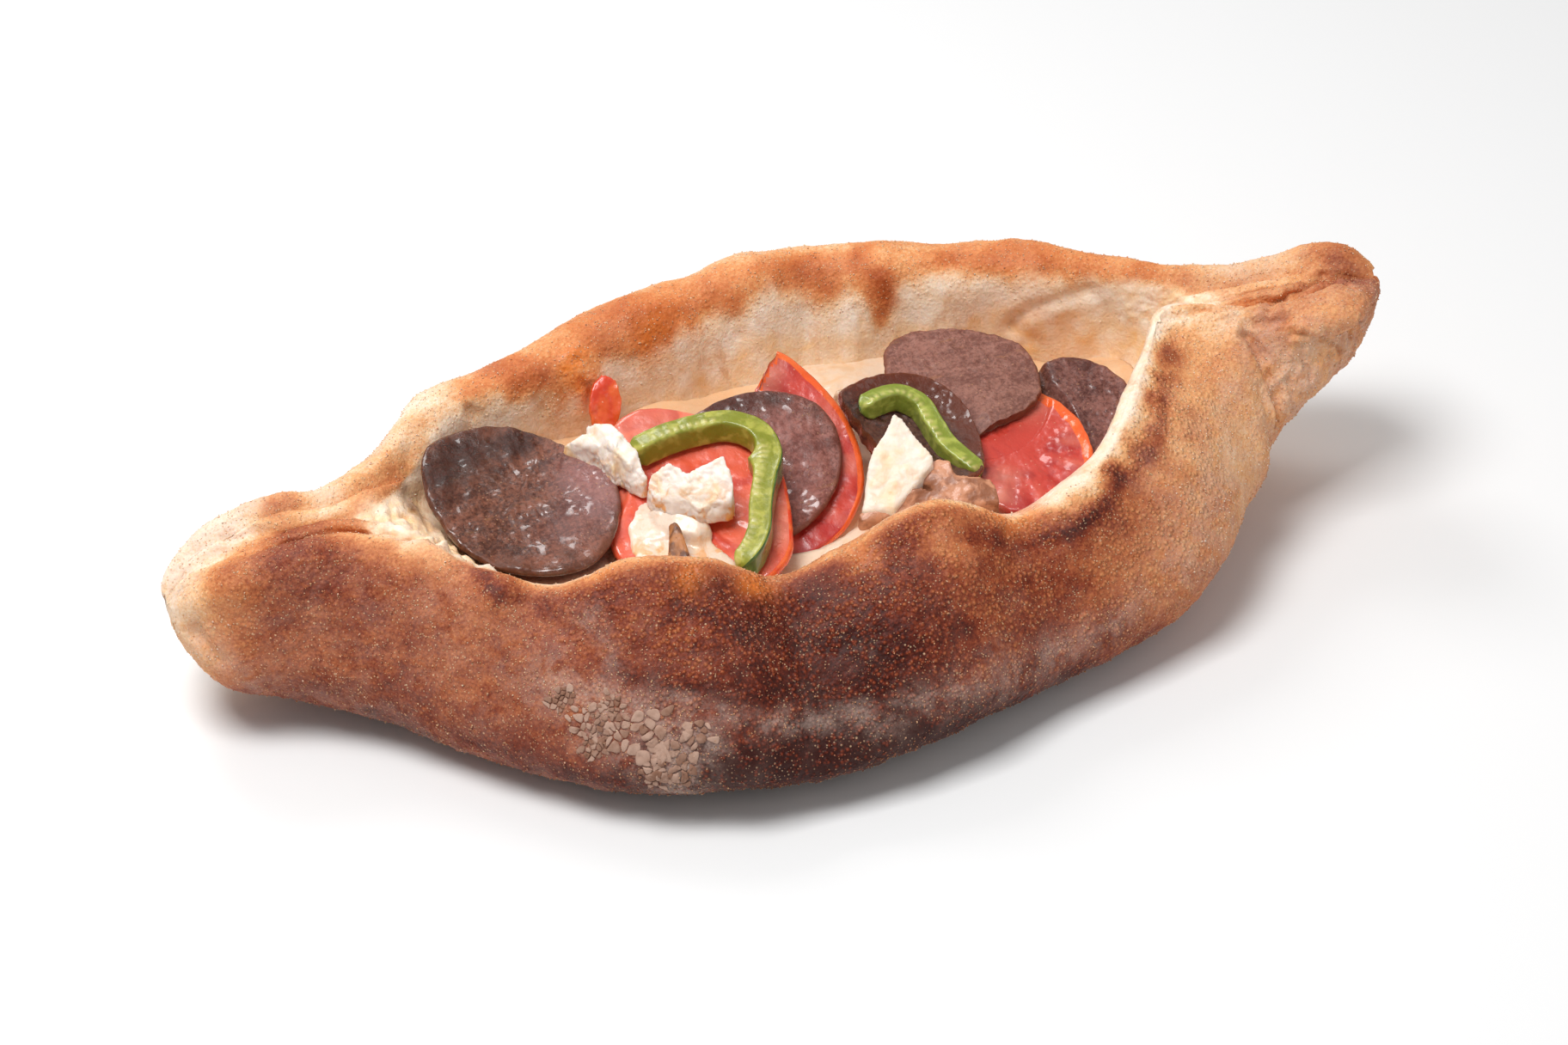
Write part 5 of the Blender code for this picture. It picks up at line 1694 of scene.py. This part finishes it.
@dataclass(frozen=True)
class Crumbled:
    """A broken piece: a few angular lumps grown together, worn and cracked."""

    name: str
    lumps: tuple
    foot: float
    finish: object
    slot: Slot
    grain: float = 0.4
    rough: float = 0.35
    crumble: float = 2.4
    cracked: float = 0.3
    crack_width: float = 0.09
    crack_patches: float = 5.0
    wear: float = 0.5
    oily_share: float = 0.8
    seed: float = 0.0
    smoothing: int = 2
    spread: float = 0.06
    deep: float = 12.0

    def form(self) -> Form:
        """The piece's shape, worn and cracked, with a mask for its low part."""
        points, faces = self._grown_together()
        form = Form(points, faces)
        place = points + self.seed
        nearest, border = NOISE.cells(place, self.crumble)
        relief = self.rough * NOISE.fractal(place, 2 * self.crumble, 4)
        relief = relief + 0.5 * self.rough * (0.5 - nearest)
        cracks = np.exp(-((border / self.crack_width) ** 2))
        relief = relief - self.cracked * cracks * smooth_step(NOISE.at(place, self.crack_patches), -0.2, 0.4)
        form.points = points + form.normals() * relief[:, None]
        low = points[:, 2].min()
        form.masks = {"low": 1 - smooth_step(points[:, 2], low, low + self.oily_share * np.ptp(points[:, 2]))}
        return form

    def _grown_together(self) -> tuple[Array, list]:
        """The lumps as one skin: each is the hull of its corners and of their feet; a remesh joins them."""
        corners, faces = [], []
        for lump in self.lumps:
            hull = bmesh.new()
            middle = np.mean(lump, axis=0)
            for x, y, z in lump:
                hull.verts.new((x, y, z))
                foot_x, foot_y = np.array((x, y)) + self.spread * (np.array((x, y)) - middle[:2])
                hull.verts.new((foot_x, foot_y, min(max(self.foot, z - self.deep), z - 1)))
            made = bmesh.ops.convex_hull(hull, input=hull.verts[:])
            spare = [item for item in made["geom_interior"] if isinstance(item, bmesh.types.BMVert)]
            bmesh.ops.delete(hull, geom=spare, context="VERTS")
            hull.verts.index_update()
            faces += [[vertex.index + len(corners) for vertex in face.verts] for face in hull.faces]
            corners += [vertex.co.copy() for vertex in hull.verts]
            hull.free()
        raw = bpy.data.meshes.new(self.name)
        raw.from_pydata(corners, [], faces)
        thing = bpy.data.objects.new(self.name, raw)
        bpy.context.scene.collection.objects.link(thing)
        remesh = thing.modifiers.new("grow_together", "REMESH")
        remesh.mode = "VOXEL"
        remesh.voxel_size = self.grain
        worn = thing.modifiers.new("wear", "SMOOTH")
        worn.factor = self.wear
        worn.iterations = self.smoothing
        bpy.context.view_layer.update()
        joined = thing.evaluated_get(bpy.context.evaluated_depsgraph_get()).to_mesh()
        points = np.zeros(len(joined.vertices) * 3, np.float32)
        joined.vertices.foreach_get("co", points)
        points = points.reshape(-1, 3).astype(float)
        faces = [tuple(face.vertices) for face in joined.polygons]
        bpy.data.objects.remove(thing)
        bpy.data.meshes.remove(raw)
        return points, faces

    def show(self) -> None:
        """Puts the piece in the scene in place of its solid."""
        show(self.name + "_look", self.form(), self.finish.material(), (self.name,))


@dataclass
class MeltedCheese:
    """The melted cheese that fills the hollow, sunk under each slice that lies on it."""

    level: float = 25.5
    cell: float = 0.8
    bottom: float = 4.0
    least: float = 6.0
    gap: float = 0.6
    wave: float = 0.7
    wave_lengths: tuple = (32.0, 40.0)
    skin_relief: Pair = (0.35, 5.0)
    pressed_reach: float = 1.08
    ends: Pair = (-86.0, 84.0)
    wall_places: Triple = (6.5, 10.0, 12.6)
    columns: int = 110
    overlap: float = 1.2
    depth: float = 5.0
    # x, y, radius and height of each.
    mounds: tuple = (
        (-40, -30, 11, 6.5), (-26, -38, 8, 4), (-62, 34, 14, 3.5), (-20, 33, 14, 3), (18, 30, 16, 4.5),
        (8, -30, 8, 3.5), (62, -32, 7, 6), (80, 8, 9, 6), (48, 30, 12, 3),
    )
    finish: CheeseFinish = CheeseFinish(
        "melted_cheese", paint(238, 212, 186), paint(232, 194, 154), stained=0.35, roughness=0.35, wet=0.5,
    )

    def height(self, x: Array, y: Array, slices: Sequence[Slice]) -> Array:
        """The cheese's top over x and y."""
        across, deep = (2 * math.pi / length for length in self.wave_lengths)
        top = self.level + self.wave * np.sin(across * x + 1) * np.cos(deep * y)
        for mound_x, mound_y, radius, rise in self.mounds:
            top = top + rise * np.exp(-((x - mound_x) ** 2 + (y - mound_y) ** 2) / radius**2)
        place = np.stack([x, y, 0 * x], axis=-1)
        rise, size = self.skin_relief
        top = top + rise * NOISE.fractal(place, size, 3)
        for piece in slices:
            middle, out = piece.over(x, y)
            pressed = np.minimum(top, middle - self.gap - piece.thickness / 2)
            top = np.where(out < self.pressed_reach, pressed, top)
        return np.maximum(top, self.bottom + self.least)

    def form(self, grid: Array, places: Array, slices: Sequence[Slice]) -> Form:
        """The cheese, spread from wall to wall of the hollow.

        Args:
            grid: the dough's points by section and round it.
            places: where round a section each point lies.
            slices: the slices on the cheese.

        Returns:
            A closed form whose edge lies just inside the dough.
        """
        first, last = self.ends
        rows = grid[(grid[:, 0, 0] > first) & (grid[:, 0, 0] < last)][::2]
        start, middle, end = self.wall_places
        front = rows[:, (places >= start) & (places <= middle)]
        rear = rows[:, (places >= middle) & (places <= end)][:, ::-1]
        columns = np.linspace(0, 1, self.columns)
        tops, lows = [], []
        for row, near, far in zip(rows, front, rear):
            x = row[:, 0].mean()
            ends = []
            for wall, way in ((near, -1), (far, 1)):
                level = self.height(np.full(len(wall), x), wall[:, 1], slices)
                meets = int(np.argmax(wall[:, 2] <= level))
                ends.append(wall[meets, 1] + self.overlap * way)
            y = ends[0] + columns * (ends[1] - ends[0])
            z = self.height(np.full(len(y), x), y, slices)
            tops.append(np.stack([np.full(len(y), x), y, z], axis=-1))
            lows.append(np.stack([np.full(len(y), x), y, np.maximum(z - self.depth, self.bottom)], axis=-1))
        rings = np.concatenate([np.array(tops), np.array(lows)[:, ::-1]], axis=1)
        low = np.concatenate([np.zeros(len(columns)), np.ones(len(columns))])
        soaked = smooth_step(rings[..., 1], 8, 24) * (1 - smooth_step(rings[..., 0], -2, 12))
        soaked = np.maximum(soaked, 1 - smooth_step(rings[..., 0], -80, -68))
        soaked = np.maximum(soaked, smooth_step(rings[..., 0], 56, 66) * smooth_step(rings[..., 1], -4, 6))
        return skin(rings, {"low": np.broadcast_to(low, rings.shape[:2]), "soaked": soaked})

    def show(self, grid: Array, places: Array, slices: Sequence[Slice]) -> None:
        """Puts the cheese in the scene in place of its solid."""
        form = self.form(grid, places, slices)
        show("cheese_filling_look", form, self.finish.material(), ("cheese_filling",))


@dataclass
class Filling:
    """Everything in the boat, from its top down."""

    slices: tuple = (
        Slice(
            "sausage_curled", (24.4, -5.9, 34.6), (17.3, 17.3), (19, -5, 0), 3.4,
            SausageFinish("curled_sausage", paint(64, 38, 32), paint(100, 66, 54), paint(98, 42, 20),
                roughness=0.26, wet=0.9, edge=paint(122, 60, 30)),
            Slot.SAUSAGE, dish=4.2, ripple=0.2,
            outline=((-180, 1), (-100, 1.1), (-53, 1.079), (-32, 0.901), (-2, 0.785), (25, 0.79), (46, 0.817),
                (70, 0.856), (92, 0.872), (118, 0.951), (147, 1.08)),
            bumps=0.3, bump_size=2.6, cut=(-12, 0, -0.95, -0.3), shown=2.8,
            char=((-8, 13, 0, 6, 0.9), (1, 14, 0, 6, 0.9), (7, 12, 0, 5.5, 0.9), (11, 7, 0, 5, 0.9),
                (13, 0, 0, 5, 0.9), (13, -8, 0, 5, 0.8)),
        ),
        Slice(
            "sausage_rear", (40.4, 5.3, 37), (18.8, 20.6), (12, 0, 0), 3.6,
            SausageFinish("rear_sausage", paint(110, 68, 58), paint(156, 108, 94), paint(96, 50, 38),
                roughness=0.5, wet=0.12),
            Slot.SAUSAGE, dish=-0.6, torn=0.4,
            outline=((-180, 0.95), (-150, 0.95), (-120, 0.8), (-83, 0.663), (-62, 0.669), (-43, 0.79),
                (-20, 0.93), (15, 1), (25, 1.03), (43, 0.97), (67, 0.9), (93, 0.905), (115, 1), (130, 1.05),
                (141, 1.01), (150, 0.94), (165, 0.93)),
            bumps=0.3, bump_size=2, haze=((-12, -10, 0, 8, 0.5),),
        ),
        Slice(
            "sausage_left", (-62.6, 0.7, 35.5), (21.6, 22.2), (11, 0, 0), 3.8,
            SausageFinish("left_sausage", paint(70, 35, 22), paint(132, 80, 60), paint(48, 22, 11),
                roughness=0.24, wet=1, edge=paint(92, 50, 30), haze=paint(172, 122, 120)),
            Slot.SAUSAGE, dish=2.2, curl=-0.6, ripple=0.2, bumps=0.5, bump_size=4.6,
            outline=((-167, 0.953), (-146, 1.017), (-128, 1.075), (-114, 1.145), (-98, 1.19), (-85, 1.235),
                (-72, 1.24), (-57, 1.145), (-46, 1.08), (-31, 1.012), (-16, 0.95), (-2, 0.88), (11, 0.8),
                (37, 0.69), (52, 0.71), (70, 0.767), (90, 0.885), (110, 0.981), (124, 1.08), (135, 1.12),
                (146, 1.08), (162, 0.99), (175, 0.98)),
            haze=((15, 0, 0, 7, 0.85), (16, -9, 0, 7, 0.6), (6, -15, 0, 8, 0.25)),
            char=((-9, 15, 0, 9, 0.75), (-17, 8, 0, 8, 0.7), (2, 14, 0, 6, 0.7), (-20, -2, 0, 5, 0.5),
                (-8, -21, 0, 4, 0.5), (4, -22, 0, 4, 0.5), (-14, -16, 0, 4, 0.4)),
        ),
        Slice(
            "tomato_front", (-28.2, -13.6, 34), (21.8, 26.5), (18, 5, 0), 4,
            TomatoFinish("front_tomato", flesh=paint(232, 96, 64), deep=paint(204, 62, 42)), Slot.TOMATO,
            curl=0.6, ripple=0.3, fibres=0.5,
            outline=((-177, 0.9), (-170, 0.96), (-120, 1), (-47, 1.03), (-31, 0.944), (-10, 0.931),
                (6, 0.965), (30, 0.96), (61, 0.92), (72, 0.94), (86, 0.983), (100, 1.05), (108, 1.08),
                (125, 1.05), (150, 0.98)),
            rind=(-10, 0, 0.05), shown=3,
            haze=((-12, 20, 0, 8, 0.5), (14, -10, 0, 7, 0.4), (6, 22, 0, 6, 0.4)),
        ),
        Slice(
            "sausage_middle", (-11.4, -3.7, 34.5), (19.3, 20), (27, 5, 0), 3.8,
            SausageFinish("middle_sausage", paint(96, 48, 38), paint(152, 96, 84), paint(62, 28, 16),
                roughness=0.24, wet=0.95, edge=paint(122, 72, 58)),
            Slot.SAUSAGE, dish=-0.8, ripple=0.3,
            outline=((-180, 1), (-120, 1), (-72, 0.94), (-56, 0.944), (-35, 0.967), (-17, 0.98), (1, 1.024),
                (16, 1.066), (29, 1.063), (45, 1), (64, 0.928), (83, 0.891), (103, 0.88), (116, 0.876),
                (140, 0.95)),
            haze=((4, 6, 0, 10, 0.45), (8, -8, 0, 8, 0.4)), bumps=0.4, bump_size=4,
            char=((-12, 12, 0, 8, 0.9), (-2, 16, 0, 7, 0.9), (9, 14, 0, 5, 0.7), (17, 8, 0, 3.5, 0.5)),
        ),
        Slice(
            "tomato_right", (46.2, -13.6, 30.5), (16.2, 21.5), (8, 3, 0), 4,
            TomatoFinish("right_tomato", flesh=paint(200, 66, 52), skin=paint(240, 98, 40)), Slot.TOMATO,
            dish=0.8, fibres=0.8, bumps=0.5, bump_size=7, rind=(8, 0, 0.17), shown=3,
            haze=((7, 13, 0, 5, 0.6), (-6, -8, 0, 4, 0.4), (-9, -14, 0, 3, 0.5)),
        ),
        Slice(
            "tomato_crescent", (-8.4, -1.7, 32), (22.6, 26.5), (31, 5, 0), 3.8,
            TomatoFinish("crescent_tomato", flesh=paint(208, 66, 50), deep=paint(184, 42, 36),
                skin=paint(240, 98, 40)),
            Slot.TOMATO, curl=1.2, ripple=0.3, cut=(8, 22, -0.67, 0.743),
            outline=((-180, 1.05), (-74, 0.9), (-53, 0.915), (-39, 0.921), (-26, 0.945), (-14, 0.953),
                (10, 0.967), (34, 0.963), (46, 1.003), (54, 1.04), (62, 1.08), (75, 1.1), (120, 1.05)),
            fibres=0.3, rind=(10, 0, 0.1), shown=3, haze=((7, 21, 0, 3.5, 0.6),),
        ),
        Slice(
            "tomato_scrap", (-36.9, 27.4, 36.2), (3.6, 7), (52, 0, -14), 3,
            TomatoFinish("tomato_scrap", flesh=paint(240, 104, 44), deep=paint(222, 66, 30),
                skin=paint(244, 130, 60)),
            Slot.TOMATO, around=72, top_rings=16, torn=0.2,
        ),
        Slice(
            "sausage_right", (64.2, -5.4, 32), (12.8, 14.4), (22, 0, 0), 3.8,
            SausageFinish("right_sausage", paint(84, 48, 42), paint(140, 94, 84), paint(60, 32, 24),
                roughness=0.3, wet=0.6),
            Slot.SAUSAGE, char=((-6, 9, 0, 7, 0.5), (6, 11, 0, 5, 0.4)), haze=((8, -8, 0, 5, 0.6),),
            bumps=0.3,
        ),
        Slice(
            "sausage_under", (-59, -1.6, 29.6), (20.5, 20.5), (6, 0, 0), 2.4,
            SausageFinish("under_sausage", paint(128, 92, 76), paint(172, 134, 112), paint(90, 52, 32),
                roughness=0.3, wet=0.6, edge=paint(170, 134, 112)),
            Slot.SAUSAGE, dish=0.6,
            outline=((-180, 1), (-130, 1.05), (-100, 1.1), (-72, 1.08), (-50, 0.97), (-20, 0.75), (10, 0.6),
                (60, 0.6), (100, 0.8), (140, 1)),
            haze=((0, -18, 0, 12, 0.7),),
        ),
    )
    strips: tuple = (
        PepperStrip(
            "pepper_hook",
            ((-38.5, -1.8, 42.4), (-30.2, -0.3, 43.6), (-23.4, 0, 44.1), (-15.9, -1.2, 44.3),
                (-11, -5.8, 43.4), (-10.2, -12.3, 41.3), (-13.4, -18.3, 39.4), (-16.2, -24, 37.4),
                (-18.5, -30, 35.4), (-21.8, -34.4, 33.8), (-25.2, -37, 33)),
            5.2, 5.6, PepperFinish("hook_pepper"), knob=(0.56, 0.05, 2.4),
        ),
        PepperStrip(
            "pepper_arc",
            ((14.1, -2, 42), (18.8, 0, 42), (23.6, 0.5, 41.5), (27.3, -2.2, 40), (28.8, -8, 37.6),
                (30, -13.6, 35.5), (32.2, -17.7, 33.9), (34.6, -21.8, 32.5)),
            4.4, 5,
            PepperFinish("arc_pepper", flesh=paint(132, 144, 50), bright=paint(172, 180, 80),
                skin=paint(32, 80, 42)),
        ),
    )
    lumps: tuple = (
        Crumbled(
            "feta_left",
            (((-51.6, 8.2, 41.5), (-50.2, 6.7, 43), (-46.3, 6.5, 45), (-45.1, 1.1, 45), (-45.2, 1.7, 41),
                    (-48, 3.9, 40), (-50.5, 6.1, 40)),
                ((-45.6, 9.2, 44.5), (-44.3, 7.4, 46.5), (-40.7, 5.4, 46.8), (-39.8, 1.1, 46.8),
                    (-42.2, -3.4, 46.5), (-43.6, -5, 41.5), (-45.2, 1.7, 41), (-46.9, 5.7, 42)),
                ((-40.5, 2.7, 46.5), (-38.9, -0.2, 46), (-38, -5.4, 45.2), (-40.6, -8.2, 44.5),
                    (-42.2, -6, 41), (-43.3, -1.5, 41.5), (-43.4, -1, 46)),
                ((-38.2, -4.8, 45), (-37.8, -7.9, 44), (-37.6, -10.4, 42), (-39, -10.8, 40.2),
                (-41, -8.8, 40), (-42.3, -5.5, 40.5), (-40.6, -5.8, 44.5))),
            37, CheeseFinish("left_feta", stained=0.6), Slot.FETA, seed=3.1, crumble=1.9, smoothing=4,
        ),
        Crumbled(
            "feta_front",
            (((-38.2, -12.3, 41), (-36.8, -11.2, 43), (-34.3, -11.1, 44.5), (-32.8, -11.5, 46),
                    (-31.3, -13.7, 45.5), (-29.9, -15.9, 45), (-30.2, -18.9, 43.5), (-31.3, -20.1, 41),
                    (-34.7, -18.6, 40), (-37.5, -15.6, 39.5)),
                ((-30.4, -15.3, 44.5), (-26.4, -15.9, 46), (-23, -15.8, 47), (-21.5, -14.8, 47),
                    (-21.2, -18.1, 46), (-21.5, -21.8, 43.5), (-22.7, -23.6, 41.5), (-25.5, -23.2, 40.5),
                (-29.5, -22.8, 40), (-31.5, -20.6, 41))),
            36, CheeseFinish("front_feta", stained=0.7), Slot.FETA, seed=7.7, crumble=1.9,
        ),
        Crumbled(
            "feta_melted",
            (((-38.6, -14.5, 36), (-37.3, -14.9, 37.4), (-33.2, -17, 38.6), (-29.1, -19, 38.2),
                    (-28, -22, 37.2), (-28.2, -23.7, 35.6), (-31.1, -25.1, 35.4), (-35.7, -21.8, 35.4),
                    (-38.1, -18.7, 35.4)),
                ((-42.5, -9, 35.6), (-39.3, -10, 36.2), (-36.2, -11.8, 36.3), (-32, -13.4, 36),
                    (-29.1, -16.5, 35.4), (-28.2, -19.2, 34.4), (-30.5, -22.5, 33.6), (-36, -22, 34),
                    (-41, -21, 33.6), (-43.9, -17, 33.8), (-43.2, -12, 35)),
                ((-43.9, -17, 33.8), (-44.6, -21.5, 32.2), (-44.2, -26.5, 30.9), (-41.2, -33.1, 28.9),
                    (-34.6, -35.9, 29), (-30, -30, 31), (-29.5, -25, 32.4), (-33, -21, 33.8),
                    (-39, -18, 34.4)),
                ((-30.5, -23.5, 32.7), (-28.2, -24.6, 32.7), (-24.7, -31, 31.4), (-25.5, -34.5, 30),
                (-34, -35.9, 29.2), (-33, -29, 31.4))),
            27,
            CheeseFinish("melted_feta", paint(240, 218, 198), paint(238, 204, 166), stained=0.9,
                roughness=0.3, wet=0.6),
            Slot.FETA, rough=0.25, cracked=0, crumble=3, smoothing=14, spread=0.2, deep=3, seed=1.9,
        ),
        Crumbled(
            "feta_peak",
            (((17.6, -13.9, 48), (18.8, -15.3, 47.5), (9.5, -20.6, 42.5), (7.9, -23.3, 39.5),
                    (8.2, -26.9, 37.5), (5.2, -28.9, 35), (11.3, -31.5, 36), (17.4, -26.6, 38.5),
                (20.2, -19.3, 45.5), (22.4, -24.6, 43), (22.4, -25.9, 42), (18.7, -26.4, 40.5)),),
            31, CheeseFinish("peak_feta", white=paint(244, 228, 212), stained=0.35), Slot.FETA, seed=5.3,
            cracked=0.1, rough=0.25,
        ),
        Crumbled(
            "meat_crumble",
            (((18.4, -23.7, 39), (20, -23.8, 40.5), (24.2, -24.1, 41.5), (26, -25.7, 41.5), (26.1, -29.3, 40),
                    (21.2, -28.7, 38.5), (17.9, -26.8, 38)),
                ((21, -29.2, 38), (25.9, -29.3, 40), (28.1, -31.3, 39.5), (33.3, -31.8, 39),
                    (33.8, -33.9, 38), (33.2, -36.8, 36.5), (25.4, -36, 36), (18.7, -32.9, 36.5)),
                ((9.3, -27.2, 37), (13.6, -27.9, 38), (19, -29.3, 38.5), (21.7, -31.1, 37), (19.1, -32.9, 35),
                (11.3, -31.6, 34), (4.3, -30.7, 33.5), (4.2, -28.8, 34.5))),
            31, MeatFinish("minced_meat", light=paint(206, 142, 106), dark=paint(148, 92, 62), wet=0.5),
            Slot.MEAT, rough=0.28, crumble=1.8, cracked=0.06, smoothing=5, seed=2.2,
        ),
        Crumbled(
            "brown_sliver",
            (((-36.6, -23, 37.8), (-35.6, -23.5, 38.8), (-34.8, -23.9, 38.5), (-34.5, -28, 37.4),
                    (-34.8, -32.2, 36), (-35.7, -36.1, 35), (-39.5, -34.3, 34), (-39.9, -32.8, 34.4),
                (-37.7, -30.3, 35.4), (-36.4, -27.5, 36.4), (-36.5, -24.7, 37.3)),),
            30, MeatFinish("brown_sliver", light=paint(176, 112, 60), dark=paint(96, 52, 26), wet=0.6),
            Slot.MEAT, grain=0.28, rough=0.2, cracked=0, seed=4, smoothing=5, deep=3,
        ),
        Crumbled(
            "onion_bit",
            (((10.6, 9.7, 37), (12.5, 11.3, 39), (14.5, 10.6, 39.6), (17.8, 14.2, 37.6), (18.4, 12, 37.2),
                (16.3, 6.3, 38.5), (15, 5.4, 37.5), (12.5, 6.7, 37.5)),),
            33, MeatFinish("cooked_onion", light=paint(206, 174, 140), dark=paint(158, 120, 90), wet=0.9),
            Slot.ONION, grain=0.28, rough=0.25, cracked=0, crumble=1.8, seed=6, smoothing=6,
        ),
    )

    def show(self, grid: Array, places: Array) -> None:
        """Puts every piece of the filling in the scene.

        Args:
            grid: the dough's points by section and round it.
            places: where round a section each point lies.
        """
        for number, piece in enumerate(self.slices):
            piece.show(self.slices[:number])
        for strip in self.strips:
            strip.show()
        for lump in self.lumps:
            lump.show()
        MeltedCheese().show(grid, places, self.slices)


# Studio -------------------------------------------------------------------------------------------
@dataclass
class Studio:
    """The camera at the photograph's angle, a pale floor and soft lights."""

    azimuth: float = -16.8
    elevation: float = 36.15
    distance: float = 0.8203
    roll: float = -1.829
    lens: float = 85.0
    sensor: float = 36.0
    nearest: float = 0.01
    target: Triple = (-0.00618, -0.00729, 0.02)
    floor_size: float = 4.0
    floor_tone: Colour = (0.86, 0.86, 0.86)
    floor_roughness: float = 0.8
    world_light: float = 0.30
    # Name, place and size in metres, power in watts.
    lamps: tuple = (
        ("key", (-0.28, -0.08, 0.90), 0.45, 7.5),
        ("rear", (-0.14, 0.66, 0.66), 0.36, 2.4),
        ("fill", (0.60, -0.50, 0.40), 0.6, 0.8),
    )

    def camera(self) -> None:
        """Sets the camera."""
        turn, lift = math.radians(self.azimuth), math.radians(self.elevation)
        target = Vector(self.target) + Vector(BOX_SHIFT) * MM
        level = math.cos(lift)
        back = Vector((math.sin(turn) * level, -math.cos(turn) * level, math.sin(lift)))
        right = (-back).cross(Vector((0, 0, 1))).normalized()
        up = right.cross(-back)
        roll = math.radians(self.roll)
        sideways = right * math.cos(roll) + up * math.sin(roll)
        upright = up * math.cos(roll) - right * math.sin(roll)
        seat = Matrix((sideways, upright, back)).transposed().to_4x4()
        seat.translation = target + back * self.distance
        data = bpy.data.cameras.new("camera")
        data.lens = self.lens
        data.sensor_width = self.sensor
        data.clip_start = self.nearest
        thing = bpy.data.objects.new("camera", data)
        thing.matrix_world = seat
        bpy.context.scene.collection.objects.link(thing)
        bpy.context.scene.camera = thing

    def floor(self) -> None:
        """Lays the floor."""
        half = self.floor_size / 2
        mesh = bpy.data.meshes.new("floor")
        corners = [(-half, -half, 0), (half, -half, 0), (half, half, 0), (-half, half, 0)]
        mesh.from_pydata(corners, [], [(0, 1, 2, 3)])
        thing = bpy.data.objects.new("floor", mesh)
        g = Graph("floor")
        finish = {"Base Color": self.floor_tone, "Roughness": self.floor_roughness}
        mesh.materials.append(g.finish(finish, {}))
        bpy.context.scene.collection.objects.link(thing)

    def lights(self) -> None:
        """Hangs the lamps and lights the room."""
        for name, place, size, power in self.lamps:
            data = bpy.data.lights.new(name, "AREA")
            data.energy = power
            data.size = size
            thing = bpy.data.objects.new(name, data)
            thing.location = place
            thing.rotation_euler = (-Vector(place)).to_track_quat("-Z", "Y").to_euler()
            bpy.context.scene.collection.objects.link(thing)
        world = bpy.data.worlds.new("room")
        world.use_nodes = True
        shade = world.node_tree.nodes["Background"]
        shade.inputs[0].default_value = (1, 1, 1, 1)
        shade.inputs[1].default_value = self.world_light
        bpy.context.scene.world = world
        bpy.context.scene.view_settings.view_transform = "Standard"

    def build(self) -> None:
        """Sets up the whole studio."""
        self.camera()
        self.floor()
        self.lights()


def main() -> None:
    """Builds the bread, its filling and the studio."""
    logging.basicConfig(level=logging.INFO, format="%(name)s: %(message)s")
    dough = Dough()
    form, points, masks = dough.build()
    show("dough_look", form, CrustFinish().material(), ("dough",))
    grains = Semolina().build(points, masks, dough.inside(points))
    show("semolina_grains", grains, GrainFinish().material())
    show("flour_flakes", FlourFlakes().build(points), FlakeFinish().material())
    Filling().show(points, dough.places())
    Studio().build()


if __name__ == "__main__":
    main()
